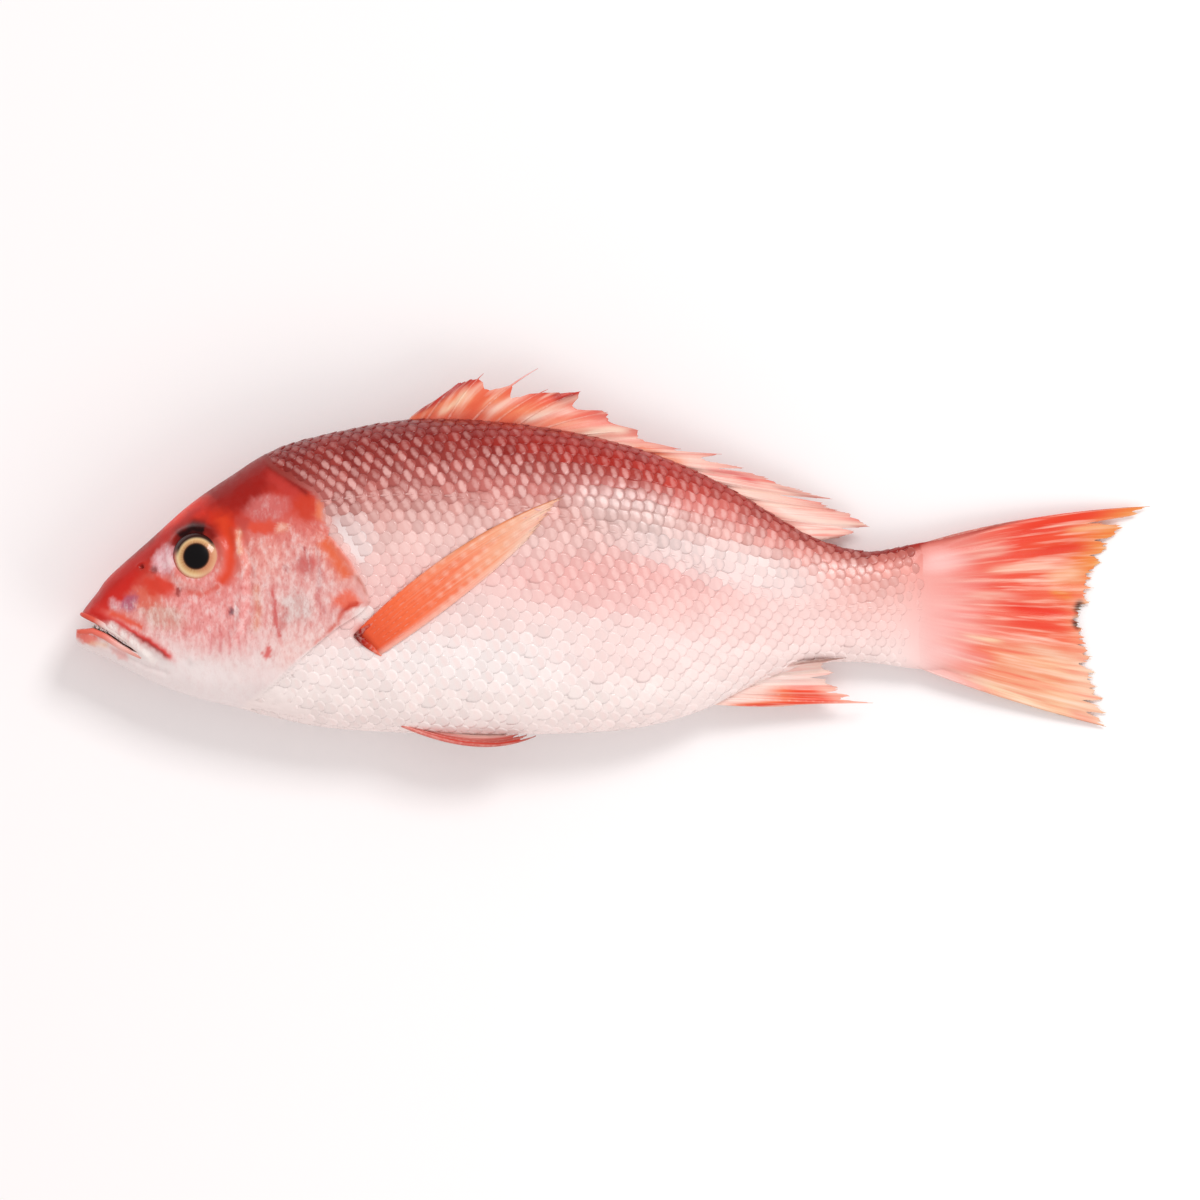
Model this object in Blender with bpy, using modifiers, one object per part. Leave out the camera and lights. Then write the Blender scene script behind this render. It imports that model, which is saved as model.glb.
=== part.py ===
"""A whole raw red snapper lying on its right flank, left flank up, head towards -X and back towards +Y.

The body is a loft between a back rail and a belly rail. Its fins are fans of rays with a membrane
between them, fused to the body, and the two eyes sit in sockets of their own. Side-view positions
are millimetres behind and above the tip of the lower jaw.
"""

import math
from collections import namedtuple

import bmesh
import bpy
import numpy as np
from mathutils import Matrix, Vector
from mathutils.bvhtree import BVHTree

MM = 0.001

# Driving dimensions, in millimetres.
FISH_LENGTH = 420.0
JAW_TO_ORIGIN = (-209.88, -16.66)  # moves the lower jaw's tip so that the outline's box is centred
RIM_SIDES = 36  # corners round one body section
EYE_CENTRE = (47.6, 16.8)
EYE_RADIUS = 10.2
EYE_DEPTH = 4.6  # half thickness of the lens-shaped eyeball
EYE_SINK = 2.8  # eyeball centre below the skin
EYE_TURN = 0.6  # share of the skin's own slope that the eye follows
SOCKET_GAP = 0.3
FIN_MEMBRANE_SHARE = 0.55  # membrane thickness as a share of the ray's
GILL_STEP = 2.0  # height of the gill cover's free edge above the body
GILL_RUN = 26.0  # length over which the cover rises to that edge
GILL_DROP = 2.0  # length over which it drops again
GILL_MIDDLE = 101.0  # the free edge's average distance behind the jaw
GILL_REACH = 26.0  # how far from the edge the rings still bend along it
GILL_BEND = 14.0  # most that a ring bends forward
ORBIT_RADIUS = 11.0
ORBIT_WIDTH = 2.6
ORBIT_RIM = 1.0
BROW_RISE = 1.2
HAIRLINE = 0.02  # edges shorter than this are dissolved

# One row for each place where the body's lines change: the back and belly points in side view,
# half the thickness there, the height of both rails above the table, and the rings to the next row.
Station = namedtuple("Station", "back belly half_width back_height belly_height rings")
STATIONS = (
    Station((-0.3, -12.0), (-0.3, -12.0), 0.0, 25.0, 25.0, 2),
    Station((0.6, -8.0), (-0.2, -15.6), 4.6, 25.0, 25.0, 2),
    Station((3.0, -3.4), (1.6, -18.2), 7.6, 25.0, 25.0, 3),
    Station((8.0, 3.0), (8.0, -21.0), 10.0, 25.0, 25.0, 3),
    Station((13.0, 9.5), (15.5, -24.4), 12.0, 25.2, 25.0, 6),
    Station((28.5, 23.4), (30.0, -32.0), 15.8, 25.4, 24.8, 7),
    Station((44.0, 37.2), (45.0, -37.6), 18.8, 25.6, 24.6, 7),
    Station((60.0, 48.3), (62.0, -41.9), 21.2, 25.8, 24.4, 7),
    Station((76.0, 58.0), (80.0, -46.4), 23.0, 26.0, 24.2, 10),
    Station((98.5, 64.7), (100.0, -50.0), 24.6, 26.0, 23.8, 9),
    Station((134.0, 70.4), (134.0, -51.9), 26.0, 26.0, 23.6, 5),
    Station((180.0, 67.5), (178.0, -52.4), 25.2, 25.4, 23.2, 5),
    Station((220.0, 58.5), (216.0, -50.2), 21.8, 23.6, 21.4, 4),
    Station((251.0, 45.5), (243.0, -43.4), 17.2, 19.8, 18.2, 4),
    Station((282.0, 27.0), (268.0, -31.2), 12.2, 15.2, 14.2, 3),
    Station((297.0, 21.0), (288.0, -25.0), 9.6, 13.0, 12.4, 3),
    Station((312.0, 18.9), (308.0, -24.3), 7.6, 11.4, 11.0, 3),
    Station((333.0, 22.8), (331.0, -27.0), 4.6, 9.4, 9.2, 3),
    Station((344.0, 19.0), (343.0, -22.5), 1.8, 8.2, 8.2, 2),
    Station((354.0, -1.5), (354.0, -1.5), 0.0, 7.6, 7.6, 0),
)

# The free edge of the gill cover: how far behind the jaw it lies at each height, belly to back.
GILL_EDGE_HEIGHTS = (-40.0, -33.0, -22.0, -17.0, -10.5, -5.0, -1.0, 5.6, 14.6, 24.0, 31.0)
GILL_EDGE_BEHIND = (66.0, 76.0, 88.0, 94.0, 102.0, 111.0, 115.0, 112.8, 107.0, 97.5, 86.0)

# The mouth, in side view: a notch between the jaws that narrows to the slit's end.
MOUTH_ROOF = ((-8.0, -3.0), (3.6, -7.0), (8.0, -9.0), (14.0, -12.2), (24.5, -20.6))
MOUTH_FLOOR = ((17.5, -17.2), (11.5, -13.4), (6.5, -11.0), (2.0, -11.2), (-8.0, -12.4))

# Fin rays, each a root, the point that its bow heads for, and its tip, in side view.
Ray = namedtuple("Ray", "root bow tip")
DORSAL_ROOTS_BEHIND = (126.0, 284.0)
DORSAL_TIPS = (
    (139.0, 77.4), (149.0, 84.8), (158.6, 88.4), (179.8, 90.4), (183.6, 82.2), (196.4, 81.5),
    (207.0, 73.4), (219.0, 66.3), (235.6, 59.0), (251.6, 57.0), (260.6, 51.6), (269.6, 47.8),
    (281.0, 43.6), (295.8, 39.4), (293.0, 36.6), (297.4, 35.2), (302.6, 33.8), (310.2, 29.0),
    (304.0, 26.2), (297.6, 24.4),
)
ANAL_ROOTS = ((243.0, -40.0), (273.0, -26.0))
ANAL_TIPS = (
    (276.0, -41.6), (311.0, -40.3), (303.0, -38.0), (297.0, -34.8), (293.0, -31.6), (296.0, -29.4),
    (297.0, -27.0), (298.4, -24.4),
)
TAIL_RAYS = 17
TAIL_ROOT_BACK = (329.0, 21.6)
TAIL_ROOT_BELLY = (328.0, -26.0)
TAIL_ROOT_HEIGHT = 8.6
TAIL_TIP_HEIGHT = 3.0
TAIL_BOW = (0.88, 0.61)  # how soon the upper and the lower lobe's outline reaches its full height

# The tail's hind edge: how far behind the jaw it lies at each height, lower tip to upper tip.
TAIL_EDGE_HEIGHTS = (-49.8, -42.0, -34.0, -25.0, -15.6, -6.0, 0.0, 10.9, 17.2, 23.4, 29.6, 36.7)
TAIL_EDGE_BEHIND = (400.4, 401.3, 399.0, 396.0, 393.4, 390.4, 394.6, 397.4, 400.5, 406.0, 411.0, 420.1)

PECTORAL_ROOT = (110.0, -14.6)
PECTORAL_TIP = (193.5, 40.6)
PECTORAL_RAYS = 9
PECTORAL_ROOT_SPREAD = 7.0
PECTORAL_WIDTH = 17.0
PELVIC_ROOT = (122.0, -46.5)
PELVIC_LENGTH = 57.0
PELVIC_RAYS = 5
PELVIC_BOW_DEPTH = -63.0


def between(low, high, share):
    return low + (high - low) * share


def catmull_rom(before, start, end, after, share):
    """A smooth curve through start and end that heads on towards its neighbours."""
    leaving = (end - before) / 2
    arriving = (after - start) / 2
    s2, s3 = share * share, share * share * share
    return (
        start * (2 * s3 - 3 * s2 + 1)
        + leaving * (s3 - 2 * s2 + share)
        + end * (3 * s2 - 2 * s3)
        + arriving * (s3 - s2)
    )


def body_section(place):
    """Back point, belly point and half width at a place counted in stations from the nose."""
    last = len(STATIONS) - 1
    index = min(int(place), last - 1)
    rows = []
    for neighbour in (index - 1, index, index + 1, index + 2):
        s = STATIONS[max(0, min(last, neighbour))]
        rows.append(np.array([*s.back, s.back_height, *s.belly, s.belly_height, s.half_width]))
    row = catmull_rom(*rows, place - index)
    return row[:3], row[3:6], max(row[6], 0.0)


def gill_edge_behind(height):
    return np.interp(height, GILL_EDGE_HEIGHTS, GILL_EDGE_BEHIND)


def gill_cover_rise(x, y):
    """The cover lifts towards its free edge, then drops to the body in one step."""
    ahead = gill_edge_behind(y) - x
    if ahead <= 0 or not GILL_EDGE_HEIGHTS[0] < y < GILL_EDGE_HEIGHTS[-1]:
        return 0.0
    ends = min(1.0, (y - GILL_EDGE_HEIGHTS[0]) / 6.0, (GILL_EDGE_HEIGHTS[-1] - y) / 8.0)
    return GILL_STEP * ends * math.exp(-((ahead / GILL_RUN) ** 2)) * min(1.0, ahead / GILL_DROP)


def orbit_rise(x, y):
    """A soft ring round the eye, higher at the brow."""
    away = math.hypot(x - EYE_CENTRE[0], y - EYE_CENTRE[1])
    ring = math.exp(-(((away - ORBIT_RADIUS) / ORBIT_WIDTH) ** 2))
    brow = 0.5 + 0.5 * (y - EYE_CENTRE[1]) / max(away, 1.0)
    return ring * (ORBIT_RIM + BROW_RISE * brow * brow)


def skin_point(place, angle):
    """A point of the skin. Angle 0 is the back, 90 degrees the left flank, 180 the belly."""
    back, belly, half_width = body_section(place)
    middle, reach = (back + belly) / 2, (back - belly) / 2
    upright = math.cos(angle)
    across = math.sin(angle)
    fullness = between(0.86, 1.04, (1 + upright) / 2)  # a round belly below a narrow back
    bulge = math.copysign(abs(across) ** fullness, across)
    widest = 0.10 * across * across
    point = middle + reach * (upright + widest * min(1.0, half_width / 20.0))
    point[2] += half_width * bulge
    tall = max(np.linalg.norm(reach[:2]), 0.01)
    outward = np.array([0.0, upright / tall, across / max(half_width, 0.01)])
    outward /= max(np.linalg.norm(outward), 1e-6)
    rise = gill_cover_rise(point[0], point[1]) + orbit_rise(point[0], point[1])
    return point + outward * rise * min(1.0, half_width / 10.0)


def to_world(point):
    """From millimetres behind and above the jaw to metres about the origin."""
    x, y, z = point
    return Vector(((x + JAW_TO_ORIGIN[0]) * MM, (y + JAW_TO_ORIGIN[1]) * MM, z * MM))


def new_object(name, mesh_builder, collection):
    mesh = bpy.data.meshes.new(name)
    shape = bmesh.new()
    mesh_builder(shape)
    shape.normal_update()
    bmesh.ops.recalc_face_normals(shape, faces=shape.faces)
    shape.to_mesh(mesh)
    shape.free()
    obj = bpy.data.objects.new(name, mesh)
    collection.objects.link(obj)
    return obj


def ring_places():
    """Where each ring of the loft lies, counted in stations."""
    places = [0.0]
    for index, station in enumerate(STATIONS):
        places += [index + (step + 1) / station.rings for step in range(station.rings)]
    return places


def place_along_gill(place, angle):
    """A ring's place at one corner, moved so that the rings near the gill cover run along its edge."""
    x, y, _ = skin_point(place, angle)
    bend = math.exp(-(((x - GILL_MIDDLE) / GILL_REACH) ** 2))
    wanted = x + max(-GILL_BEND, gill_edge_behind(y) - GILL_MIDDLE) * bend
    for _ in range(3):
        here = skin_point(place, angle)[0]
        slope = (skin_point(place + 0.05, angle)[0] - here) / 0.05
        place += (wanted - here) / max(slope, 1.0)
    return place


def build_body(shape):
    """A sphere's rings moved to the body's sections: its poles become the nose and the tail root."""
    places = ring_places()
    rings = len(places) - 1
    bmesh.ops.create_uvsphere(shape, u_segments=RIM_SIDES, v_segments=rings, radius=1.0)
    for vertex in shape.verts:
        ring = round(math.acos(max(-1.0, min(1.0, vertex.co.z))) / math.pi * rings)
        angle = math.atan2(vertex.co.y, vertex.co.x)
        place = places[ring]
        if 6.0 < place < 11.0:
            place = place_along_gill(place, angle)
        vertex.co = to_world(skin_point(place, angle))


def body_height_field(body):
    """A lookup of the skin's height above the table, from the left (+1) or the right (-1) side."""
    tree = BVHTree.FromPolygons(
        [v.co.copy() for v in body.data.vertices], [tuple(p.vertices) for p in body.data.polygons]
    )

    def look(x, y, side):
        start = to_world((x, y, 100.0 * side))
        hit, normal, _, _ = tree.ray_cast(start, Vector((0, 0, -side)))
        return (hit.z / MM, normal) if hit else (None, None)

    return look


def rail_height(x, on_belly):
    """Height of the back or belly rail above the table at a distance behind the jaw."""
    behind = [(s.belly if on_belly else s.back)[0] for s in STATIONS]
    heights = [s.belly_height if on_belly else s.back_height for s in STATIONS]
    return float(np.interp(x, behind, heights))


def bezier(ray, share):
    """A point of a ray's bow, from its root to its tip."""
    root, bow, tip = (np.array(p, float) for p in ray)
    return root * (1 - share) ** 2 + bow * 2 * share * (1 - share) + tip * share**2


def fan_point(rays, across, along, membrane_reach):
    """A point of a fin, from its first ray to its last across it and from root to tip along it."""
    spot = across * (len(rays) - 1)
    index = min(int(spot), len(rays) - 2)
    share = spot - index
    dip = 1 - (1 - membrane_reach) * math.sin(math.pi * share)
    near, far = (bezier(rays[i], along * dip) for i in (index, index + 1))
    return between(near, far, share)


def build_fin(name, rays, steps, collection, lift, membrane_reach, thickness, tip_share):
    """A fan of rays as one closed plate, thick along each ray and thin in the membrane between."""
    columns = 2 * (len(rays) - 1)

    def shape_fin(shape):
        bmesh.ops.create_grid(shape, x_segments=columns, y_segments=steps, size=1.0)
        for vertex in shape.verts:
            across, along = (vertex.co.x + 1) / 2, (vertex.co.y + 1) / 2
            x, y = fan_point(rays, across, along, membrane_reach)
            vertex.co = to_world((x, y, lift(x, y, across, along)))

    fin = new_object(name, shape_fin, collection)
    thick = fin.vertex_groups.new(name="thick")
    for vertex in fin.data.vertices:
        # The grid's vertices run column by column along each row.
        column, row = vertex.index % (columns + 1), vertex.index // (columns + 1)
        on_ray = 1.0 if column % 2 == 0 else FIN_MEMBRANE_SHARE
        thick.add([vertex.index], on_ray * between(1.0, tip_share, row / steps), "REPLACE")
    solidify = fin.modifiers.new("thickness", "SOLIDIFY")
    solidify.thickness = thickness * MM
    solidify.offset = 0.0
    solidify.vertex_group = thick.name
    return fin


def dorsal_rays(body_back):
    """Rays rooted inside the back, laid back towards the tail as in a dead fish."""
    rays = []
    for index, tip in enumerate(DORSAL_TIPS):
        root_x = between(*DORSAL_ROOTS_BEHIND, index / (len(DORSAL_TIPS) - 1))
        root = (root_x, body_back(root_x) - 3.5)
        bow = (between(root[0], tip[0], 0.42), between(root[1], tip[1], 0.62))
        rays.append(Ray(root, bow, tip))
    return rays


def anal_rays():
    rays = []
    for index, tip in enumerate(ANAL_TIPS):
        share = index / (len(ANAL_TIPS) - 1)
        root = tuple(between(np.array(ANAL_ROOTS[0]), np.array(ANAL_ROOTS[1]), share))
        bow = (between(root[0], tip[0], 0.5), between(root[1], tip[1], 0.8))
        rays.append(Ray(root, bow, tip))
    return rays


def tail_rays():
    """Rays that fan from the tail root to a forked edge, each bowed along its lobe's outline."""
    rays = []
    for index in range(TAIL_RAYS):
        share = index / (TAIL_RAYS - 1)
        root = [between(a, b, share) for a, b in zip(TAIL_ROOT_BACK, TAIL_ROOT_BELLY)]
        tip_y = between(TAIL_EDGE_HEIGHTS[-1], TAIL_EDGE_HEIGHTS[0], share)
        tip_x = float(np.interp(tip_y, TAIL_EDGE_HEIGHTS, TAIL_EDGE_BEHIND))
        bow = (between(root[0], tip_x, 0.5), between(root[1], tip_y, between(*TAIL_BOW, share)))
        rays.append(Ray(root, bow, (tip_x, tip_y)))
    return rays


def pectoral_rays():
    """A long narrow fin closed along the flank, its first ray uppermost and longest."""
    root, tip = np.array(PECTORAL_ROOT), np.array(PECTORAL_TIP)
    along = (tip - root) / np.linalg.norm(tip - root)
    side = np.array([along[1], -along[0]])
    rays = []
    for index in range(PECTORAL_RAYS):
        share = index / (PECTORAL_RAYS - 1)
        start = root + side * PECTORAL_ROOT_SPREAD * (share - 0.35)
        end = tip - along * 62.0 * share**1.2 + side * PECTORAL_WIDTH * math.sin(share * 1.9)
        bow = between(start, end, 0.5) + side * (4.0 * share - 2.5)
        rays.append(Ray(start, bow, end))
    return rays


def pelvic_rays():
    """A fin folded back under the belly, its lowest ray bulging clear of the body's outline."""
    rays = []
    for index in range(PELVIC_RAYS):
        share = index / (PELVIC_RAYS - 1)
        root = (PELVIC_ROOT[0] + 5.0 * share, PELVIC_ROOT[1])
        tip = (PELVIC_ROOT[0] + PELVIC_LENGTH * (1 - 0.2 * share), -53.0 + 2.0 * share)
        bow = (between(root[0], tip[0], 0.6), between(PELVIC_BOW_DEPTH, -53.0, share))
        rays.append(Ray(root, bow, tip))
    return rays


def build_fins(collection, skin_height):
    """All seven fins, each rooted a few millimetres inside the body."""
    behind = [s.back[0] for s in STATIONS]
    above = [s.back[1] for s in STATIONS]

    def body_back(x):
        return float(np.interp(x, behind, above))

    def laid_back(x, y, across, along):
        return rail_height(x, False) - 3.5 * along * along - 0.6 * math.sin(9 * across) * along

    def below_belly(x, y, across, along):
        return rail_height(x, True) - 2.5 * along * along

    def tail_droop(x, y, across, along):
        ripple = 0.7 * math.sin(11 * across + 2.0 * along) * along
        return between(TAIL_ROOT_HEIGHT, TAIL_TIP_HEIGHT, along) + ripple

    def on_flank(side):
        def lift(x, y, across, along):
            height, _ = skin_height(x, y, side)
            return height + side * between(-1.6, 0.1, min(1.0, along * 4))

        return lift

    def under_belly(side):
        def lift(x, y, across, along):
            return rail_height(x, True) + side * between(8.0, 2.2, across) * (1 - 0.25 * along)

        return lift

    build_fin("dorsal_fin", dorsal_rays(body_back), 5, collection, laid_back, 0.86, 1.7, 0.45)
    build_fin("anal_fin", anal_rays(), 5, collection, below_belly, 0.88, 1.7, 0.45)
    build_fin("tail_fin", tail_rays(), 8, collection, tail_droop, 0.94, 2.0, 0.4)
    for name, side in (("left", 1), ("right", -1)):
        build_fin(f"pectoral_{name}", pectoral_rays(), 9, collection, on_flank(side), 0.95, 3.4, 0.7)
        build_fin(f"pelvic_{name}", pelvic_rays(), 6, collection, under_belly(side), 0.92, 1.7, 0.5)


def build_eye(name, side, collection, skin_height, grow=0.0):
    """A lens-shaped eyeball, turned to face straight out of the skin round it."""
    height, normal = skin_height(*EYE_CENTRE, side)

    def lens(shape):
        bmesh.ops.create_uvsphere(shape, u_segments=20, v_segments=10, radius=1.0)
        radius = (EYE_RADIUS + grow) * MM
        size = Matrix.Diagonal((radius, radius, (EYE_DEPTH + grow) * MM, 1.0))
        bmesh.ops.transform(shape, matrix=size, verts=shape.verts)

    eye = new_object(name, lens, collection)
    facing = Vector((0, 0, side)).lerp(normal, EYE_TURN).normalized()
    eye.rotation_mode = "QUATERNION"
    eye.rotation_quaternion = facing.to_track_quat("Z", "Y")
    eye.location = to_world((*EYE_CENTRE, height)) - facing * EYE_SINK * MM
    return eye


def build_mouth_cutter(collection):
    """The mouth's side-view outline, extruded through both cheeks."""
    outline = bpy.data.curves.new("mouth_cutter", "CURVE")
    outline.dimensions = "2D"
    outline.fill_mode = "BOTH"
    outline.extrude = 30 * MM
    spline = outline.splines.new("POLY")
    corners = MOUTH_ROOF + MOUTH_FLOOR
    spline.points.add(len(corners) - 1)
    spline.use_cyclic_u = True
    for point, (x, y) in zip(spline.points, corners):
        spot = to_world((x, y, 0.0))
        point.co = (spot.x, spot.y, 0.0, 1.0)
    curve = bpy.data.objects.new("mouth_outline", outline)
    collection.objects.link(curve)
    bpy.context.view_layer.update()
    graph = bpy.context.evaluated_depsgraph_get()
    mesh = bpy.data.meshes.new_from_object(curve.evaluated_get(graph))
    bpy.data.objects.remove(curve)
    cutter = bpy.data.objects.new("mouth_cutter", mesh)
    cutter.location.z = STATIONS[0].back_height * MM
    collection.objects.link(cutter)
    shape = bmesh.new()
    shape.from_mesh(mesh)
    bmesh.ops.remove_doubles(shape, verts=shape.verts, dist=0.00001)
    bmesh.ops.recalc_face_normals(shape, faces=shape.faces)
    shape.to_mesh(mesh)
    shape.free()
    return cutter


def build_table_cutter(collection):
    """All that would be below the table, which presses a small flat on the lower flank."""

    def slab(shape):
        bmesh.ops.create_cube(shape, size=1.0)
        size = Matrix.Diagonal((2 * FISH_LENGTH * MM, FISH_LENGTH * MM, 0.1, 1.0))
        bmesh.ops.transform(shape, matrix=Matrix.Translation((0, 0, -0.05)) @ size, verts=shape.verts)

    return new_object("table_cutter", slab, collection)


def mark_helper(obj):
    obj.hide_render = True
    obj.display_type = "WIRE"


def add_boolean(obj, operation, other):
    boolean = obj.modifiers.new(operation.lower(), "BOOLEAN")
    boolean.operation = operation
    boolean.solver = "EXACT"
    if isinstance(other, bpy.types.Collection):
        boolean.operand_type = "COLLECTION"
        boolean.collection = other
    else:
        boolean.object = other


def apply_modifiers(obj):
    """Leaves the object with its evaluated mesh, in triangles and without its hairline faces."""
    graph = bpy.context.evaluated_depsgraph_get()
    mesh = bpy.data.meshes.new_from_object(obj.evaluated_get(graph))
    obj.modifiers.clear()
    shape = bmesh.new()
    shape.from_mesh(mesh)
    bmesh.ops.dissolve_degenerate(shape, edges=shape.edges, dist=HAIRLINE * MM)
    bmesh.ops.triangulate(shape, faces=shape.faces)
    shape.to_mesh(mesh)
    shape.free()
    obj.data = mesh


def skin_material(name, colour, roughness):
    material = bpy.data.materials.new(name)
    material.use_nodes = True
    surface = material.node_tree.nodes["Principled BSDF"]
    surface.inputs["Base Color"].default_value = (*colour, 1.0)
    surface.inputs["Roughness"].default_value = roughness
    surface.inputs["Metallic"].default_value = 0.0
    return material


def main():
    for obj in list(bpy.data.objects):
        bpy.data.objects.remove(obj)
    fish_parts = bpy.data.collections.new("red_snapper")
    fins = bpy.data.collections.new("fins")
    cutters = bpy.data.collections.new("cutters")
    for collection in (fish_parts, fins, cutters):
        bpy.context.scene.collection.children.link(collection)

    body = new_object("fish", build_body, fish_parts)
    skin_height = body_height_field(body)
    build_fins(fins, skin_height)
    add_boolean(body, "UNION", fins)
    cuts = [build_mouth_cutter(cutters), build_table_cutter(cutters)]
    for name, side in (("left", 1), ("right", -1)):
        cuts.append(build_eye(f"socket_{name}", side, cutters, skin_height, SOCKET_GAP))
    for cutter in cuts:
        mark_helper(cutter)
        add_boolean(body, "DIFFERENCE", cutter)
    apply_modifiers(body)
    for fin in list(fins.objects):
        bpy.data.objects.remove(fin)
    body.data.materials.clear()
    body.data.materials.append(skin_material("scaled_skin", (0.76, 0.35, 0.31), 0.32))
    body.data.shade_smooth()
    body.data.set_sharp_from_angle(angle=math.radians(40))

    eye_finish = skin_material("eye", (0.02, 0.012, 0.015), 0.06)
    for name, side in (("left", 1), ("right", -1)):
        eye = build_eye(f"eye_{name}", side, fish_parts, skin_height)
        eye.data.materials.append(eye_finish)
        eye.data.shade_smooth()


main()
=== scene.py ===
import math

import bmesh
import bpy
import numpy as np
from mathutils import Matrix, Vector
from mathutils.bvhtree import BVHTree


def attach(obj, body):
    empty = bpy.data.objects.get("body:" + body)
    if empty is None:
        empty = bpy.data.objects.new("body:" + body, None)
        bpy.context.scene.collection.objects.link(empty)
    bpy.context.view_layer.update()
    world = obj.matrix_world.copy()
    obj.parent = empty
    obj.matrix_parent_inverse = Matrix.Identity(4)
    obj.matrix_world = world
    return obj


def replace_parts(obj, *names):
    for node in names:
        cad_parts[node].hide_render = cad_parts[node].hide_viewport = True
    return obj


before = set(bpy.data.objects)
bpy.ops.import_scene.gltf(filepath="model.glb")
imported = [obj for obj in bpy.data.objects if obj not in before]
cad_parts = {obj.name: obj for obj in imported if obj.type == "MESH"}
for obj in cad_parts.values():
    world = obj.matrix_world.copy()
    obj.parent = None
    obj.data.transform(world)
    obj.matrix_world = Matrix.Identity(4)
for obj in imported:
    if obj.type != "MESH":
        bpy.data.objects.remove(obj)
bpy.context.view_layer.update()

# Whole raw red snapper on its right flank. Side-view places are millimetres behind and above the
# tip of the lower jaw, and heights are millimetres above the table.
mm = 0.001
jawToOrigin = (-209.88, -16.66)


def toWorld(points):
    return (np.asarray(points, float) + (jawToOrigin[0], jawToOrigin[1], 0.0)) * mm


def fromWorld(points):
    return np.asarray(points, float) / mm - (jawToOrigin[0], jawToOrigin[1], 0.0)


def between(low, high, share):
    return low + (high - low) * share


def smooth(low, high, value):
    share = np.clip((np.asarray(value, float) - low) / (high - low), 0.0, 1.0)
    return share * share * (3 - 2 * share)


def linear(hexCode):  # sRGB hex to linear colour
    parts = [int(hexCode[i : i + 2], 16) / 255 for i in (1, 3, 5)]
    return np.array([p / 12.92 if p <= 0.04045 else ((p + 0.055) / 1.055) ** 2.4 for p in parts])


def rgba(hexCode):
    return (*linear(hexCode), 1.0)


def ramp(stops, value):  # colours between (position, hex) stops
    places = [place for place, _ in stops]
    colours = np.array([linear(code) for _, code in stops])
    return np.stack([np.interp(value, places, colours[:, i]) for i in range(3)], axis=-1)


def tinted(paint, mask, hexCode):  # paint mixed towards one colour where the mask is high
    return paint + (linear(hexCode) - paint) * np.clip(mask, 0, 1)[..., None]


def blended(low, high, share):
    return low + (high - low) * np.asarray(share)[..., None]


# Mesh helpers


def gridFaces(rows, columns, wrap=False, start=0, flip=False):
    r, c = np.meshgrid(np.arange(rows - 1), np.arange(columns if wrap else columns - 1), indexing="ij")
    here, after = r * columns, (c + 1) % columns
    quads = np.stack([here + c, here + after, here + columns + after, here + columns + c], -1)
    quads = quads.reshape(-1, 4) + start
    return (quads[:, ::-1] if flip else quads).tolist()


def makeMesh(name, points, faces, paints=None, edges=()):
    mesh = bpy.data.meshes.new(name)
    mesh.from_pydata(np.asarray(points).tolist(), list(edges), faces)
    for key, values in (paints or {}).items():
        addAttribute(mesh, key, values)
    mesh.update()
    obj = bpy.data.objects.new(name, mesh)
    bpy.context.scene.collection.objects.link(obj)
    return obj


def addAttribute(mesh, key, values):
    values = np.asarray(values, np.float32)
    if values.ndim == 1:
        mesh.attributes.new(key, "FLOAT", "POINT").data.foreach_set("value", values)
    elif key == "tint":
        rgb = np.ones((len(values), 4), np.float32)
        rgb[:, :3] = values
        mesh.attributes.new(key, "FLOAT_COLOR", "POINT").data.foreach_set("color", rgb.ravel())
    else:
        mesh.attributes.new(key, "FLOAT_VECTOR", "POINT").data.foreach_set("vector", values.ravel())


def vertexArray(mesh):
    points = np.empty(len(mesh.vertices) * 3, np.float32)
    mesh.vertices.foreach_get("co", points)
    return points.reshape(-1, 3).astype(float)


def faceOut(obj):
    shape = bmesh.new()
    shape.from_mesh(obj.data)
    shape.normal_update()
    bmesh.ops.recalc_face_normals(shape, faces=shape.faces)
    shape.to_mesh(obj.data)
    shape.free()


def bake(obj, name):  # the evaluated object as a plain mesh
    bpy.context.view_layer.update()
    graph = bpy.context.evaluated_depsgraph_get()
    mesh = bpy.data.meshes.new_from_object(obj.evaluated_get(graph))
    old = obj.data
    obj.modifiers.clear()
    obj.data = mesh
    obj.name = name
    if isinstance(old, bpy.types.Mesh):
        bpy.data.meshes.remove(old)
    return obj


def dress(obj, material):
    if material is not None:
        obj.data.materials.clear()
        obj.data.materials.append(material)
    obj.data.shade_smooth()
    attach(obj, "root")
    return obj


def connect(tree, node, inputs):  # an input takes a value, a socket or another node
    for key, value in inputs.items():
        if isinstance(value, bpy.types.Node):
            value = next(socket for socket in value.outputs if socket.enabled)
        if isinstance(value, bpy.types.NodeSocket):
            tree.links.new(value, node.inputs[key])
        else:
            node.inputs[key].default_value = value


def addNode(tree, kind, inputs=None, **settings):
    node = tree.nodes.new(kind)
    for key, value in settings.items():
        setattr(node, key, value)
    connect(tree, node, inputs or {})
    return node


def newMaterial(name, film):  # roughness, IOR, specular level, then the wet coat's weight and roughness
    material = bpy.data.materials.new(name)
    material.use_nodes = True
    shader = material.node_tree.nodes["Principled BSDF"]
    labels = ("Roughness", "IOR", "Specular IOR Level", "Coat Weight", "Coat Roughness")
    connect(material.node_tree, shader, dict(zip(labels, film)))
    return material, material.node_tree, shader


def marked(tree, base, amount, marks):  # a mark is its pattern, where it starts and is full, strength, colour
    for pattern, start, full, most, code in marks:
        limits = {"Value": pattern, "From Min": start, "From Max": full, "To Max": most}
        share = addNode(tree, "ShaderNodeMapRange", limits)
        share = addNode(tree, "ShaderNodeMath", {0: share, 1: amount}, operation="MULTIPLY")
        base = addNode(tree, "ShaderNodeMix", {0: share, 6: base, 7: rgba(code)}, data_type="RGBA")
    return base


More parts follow.
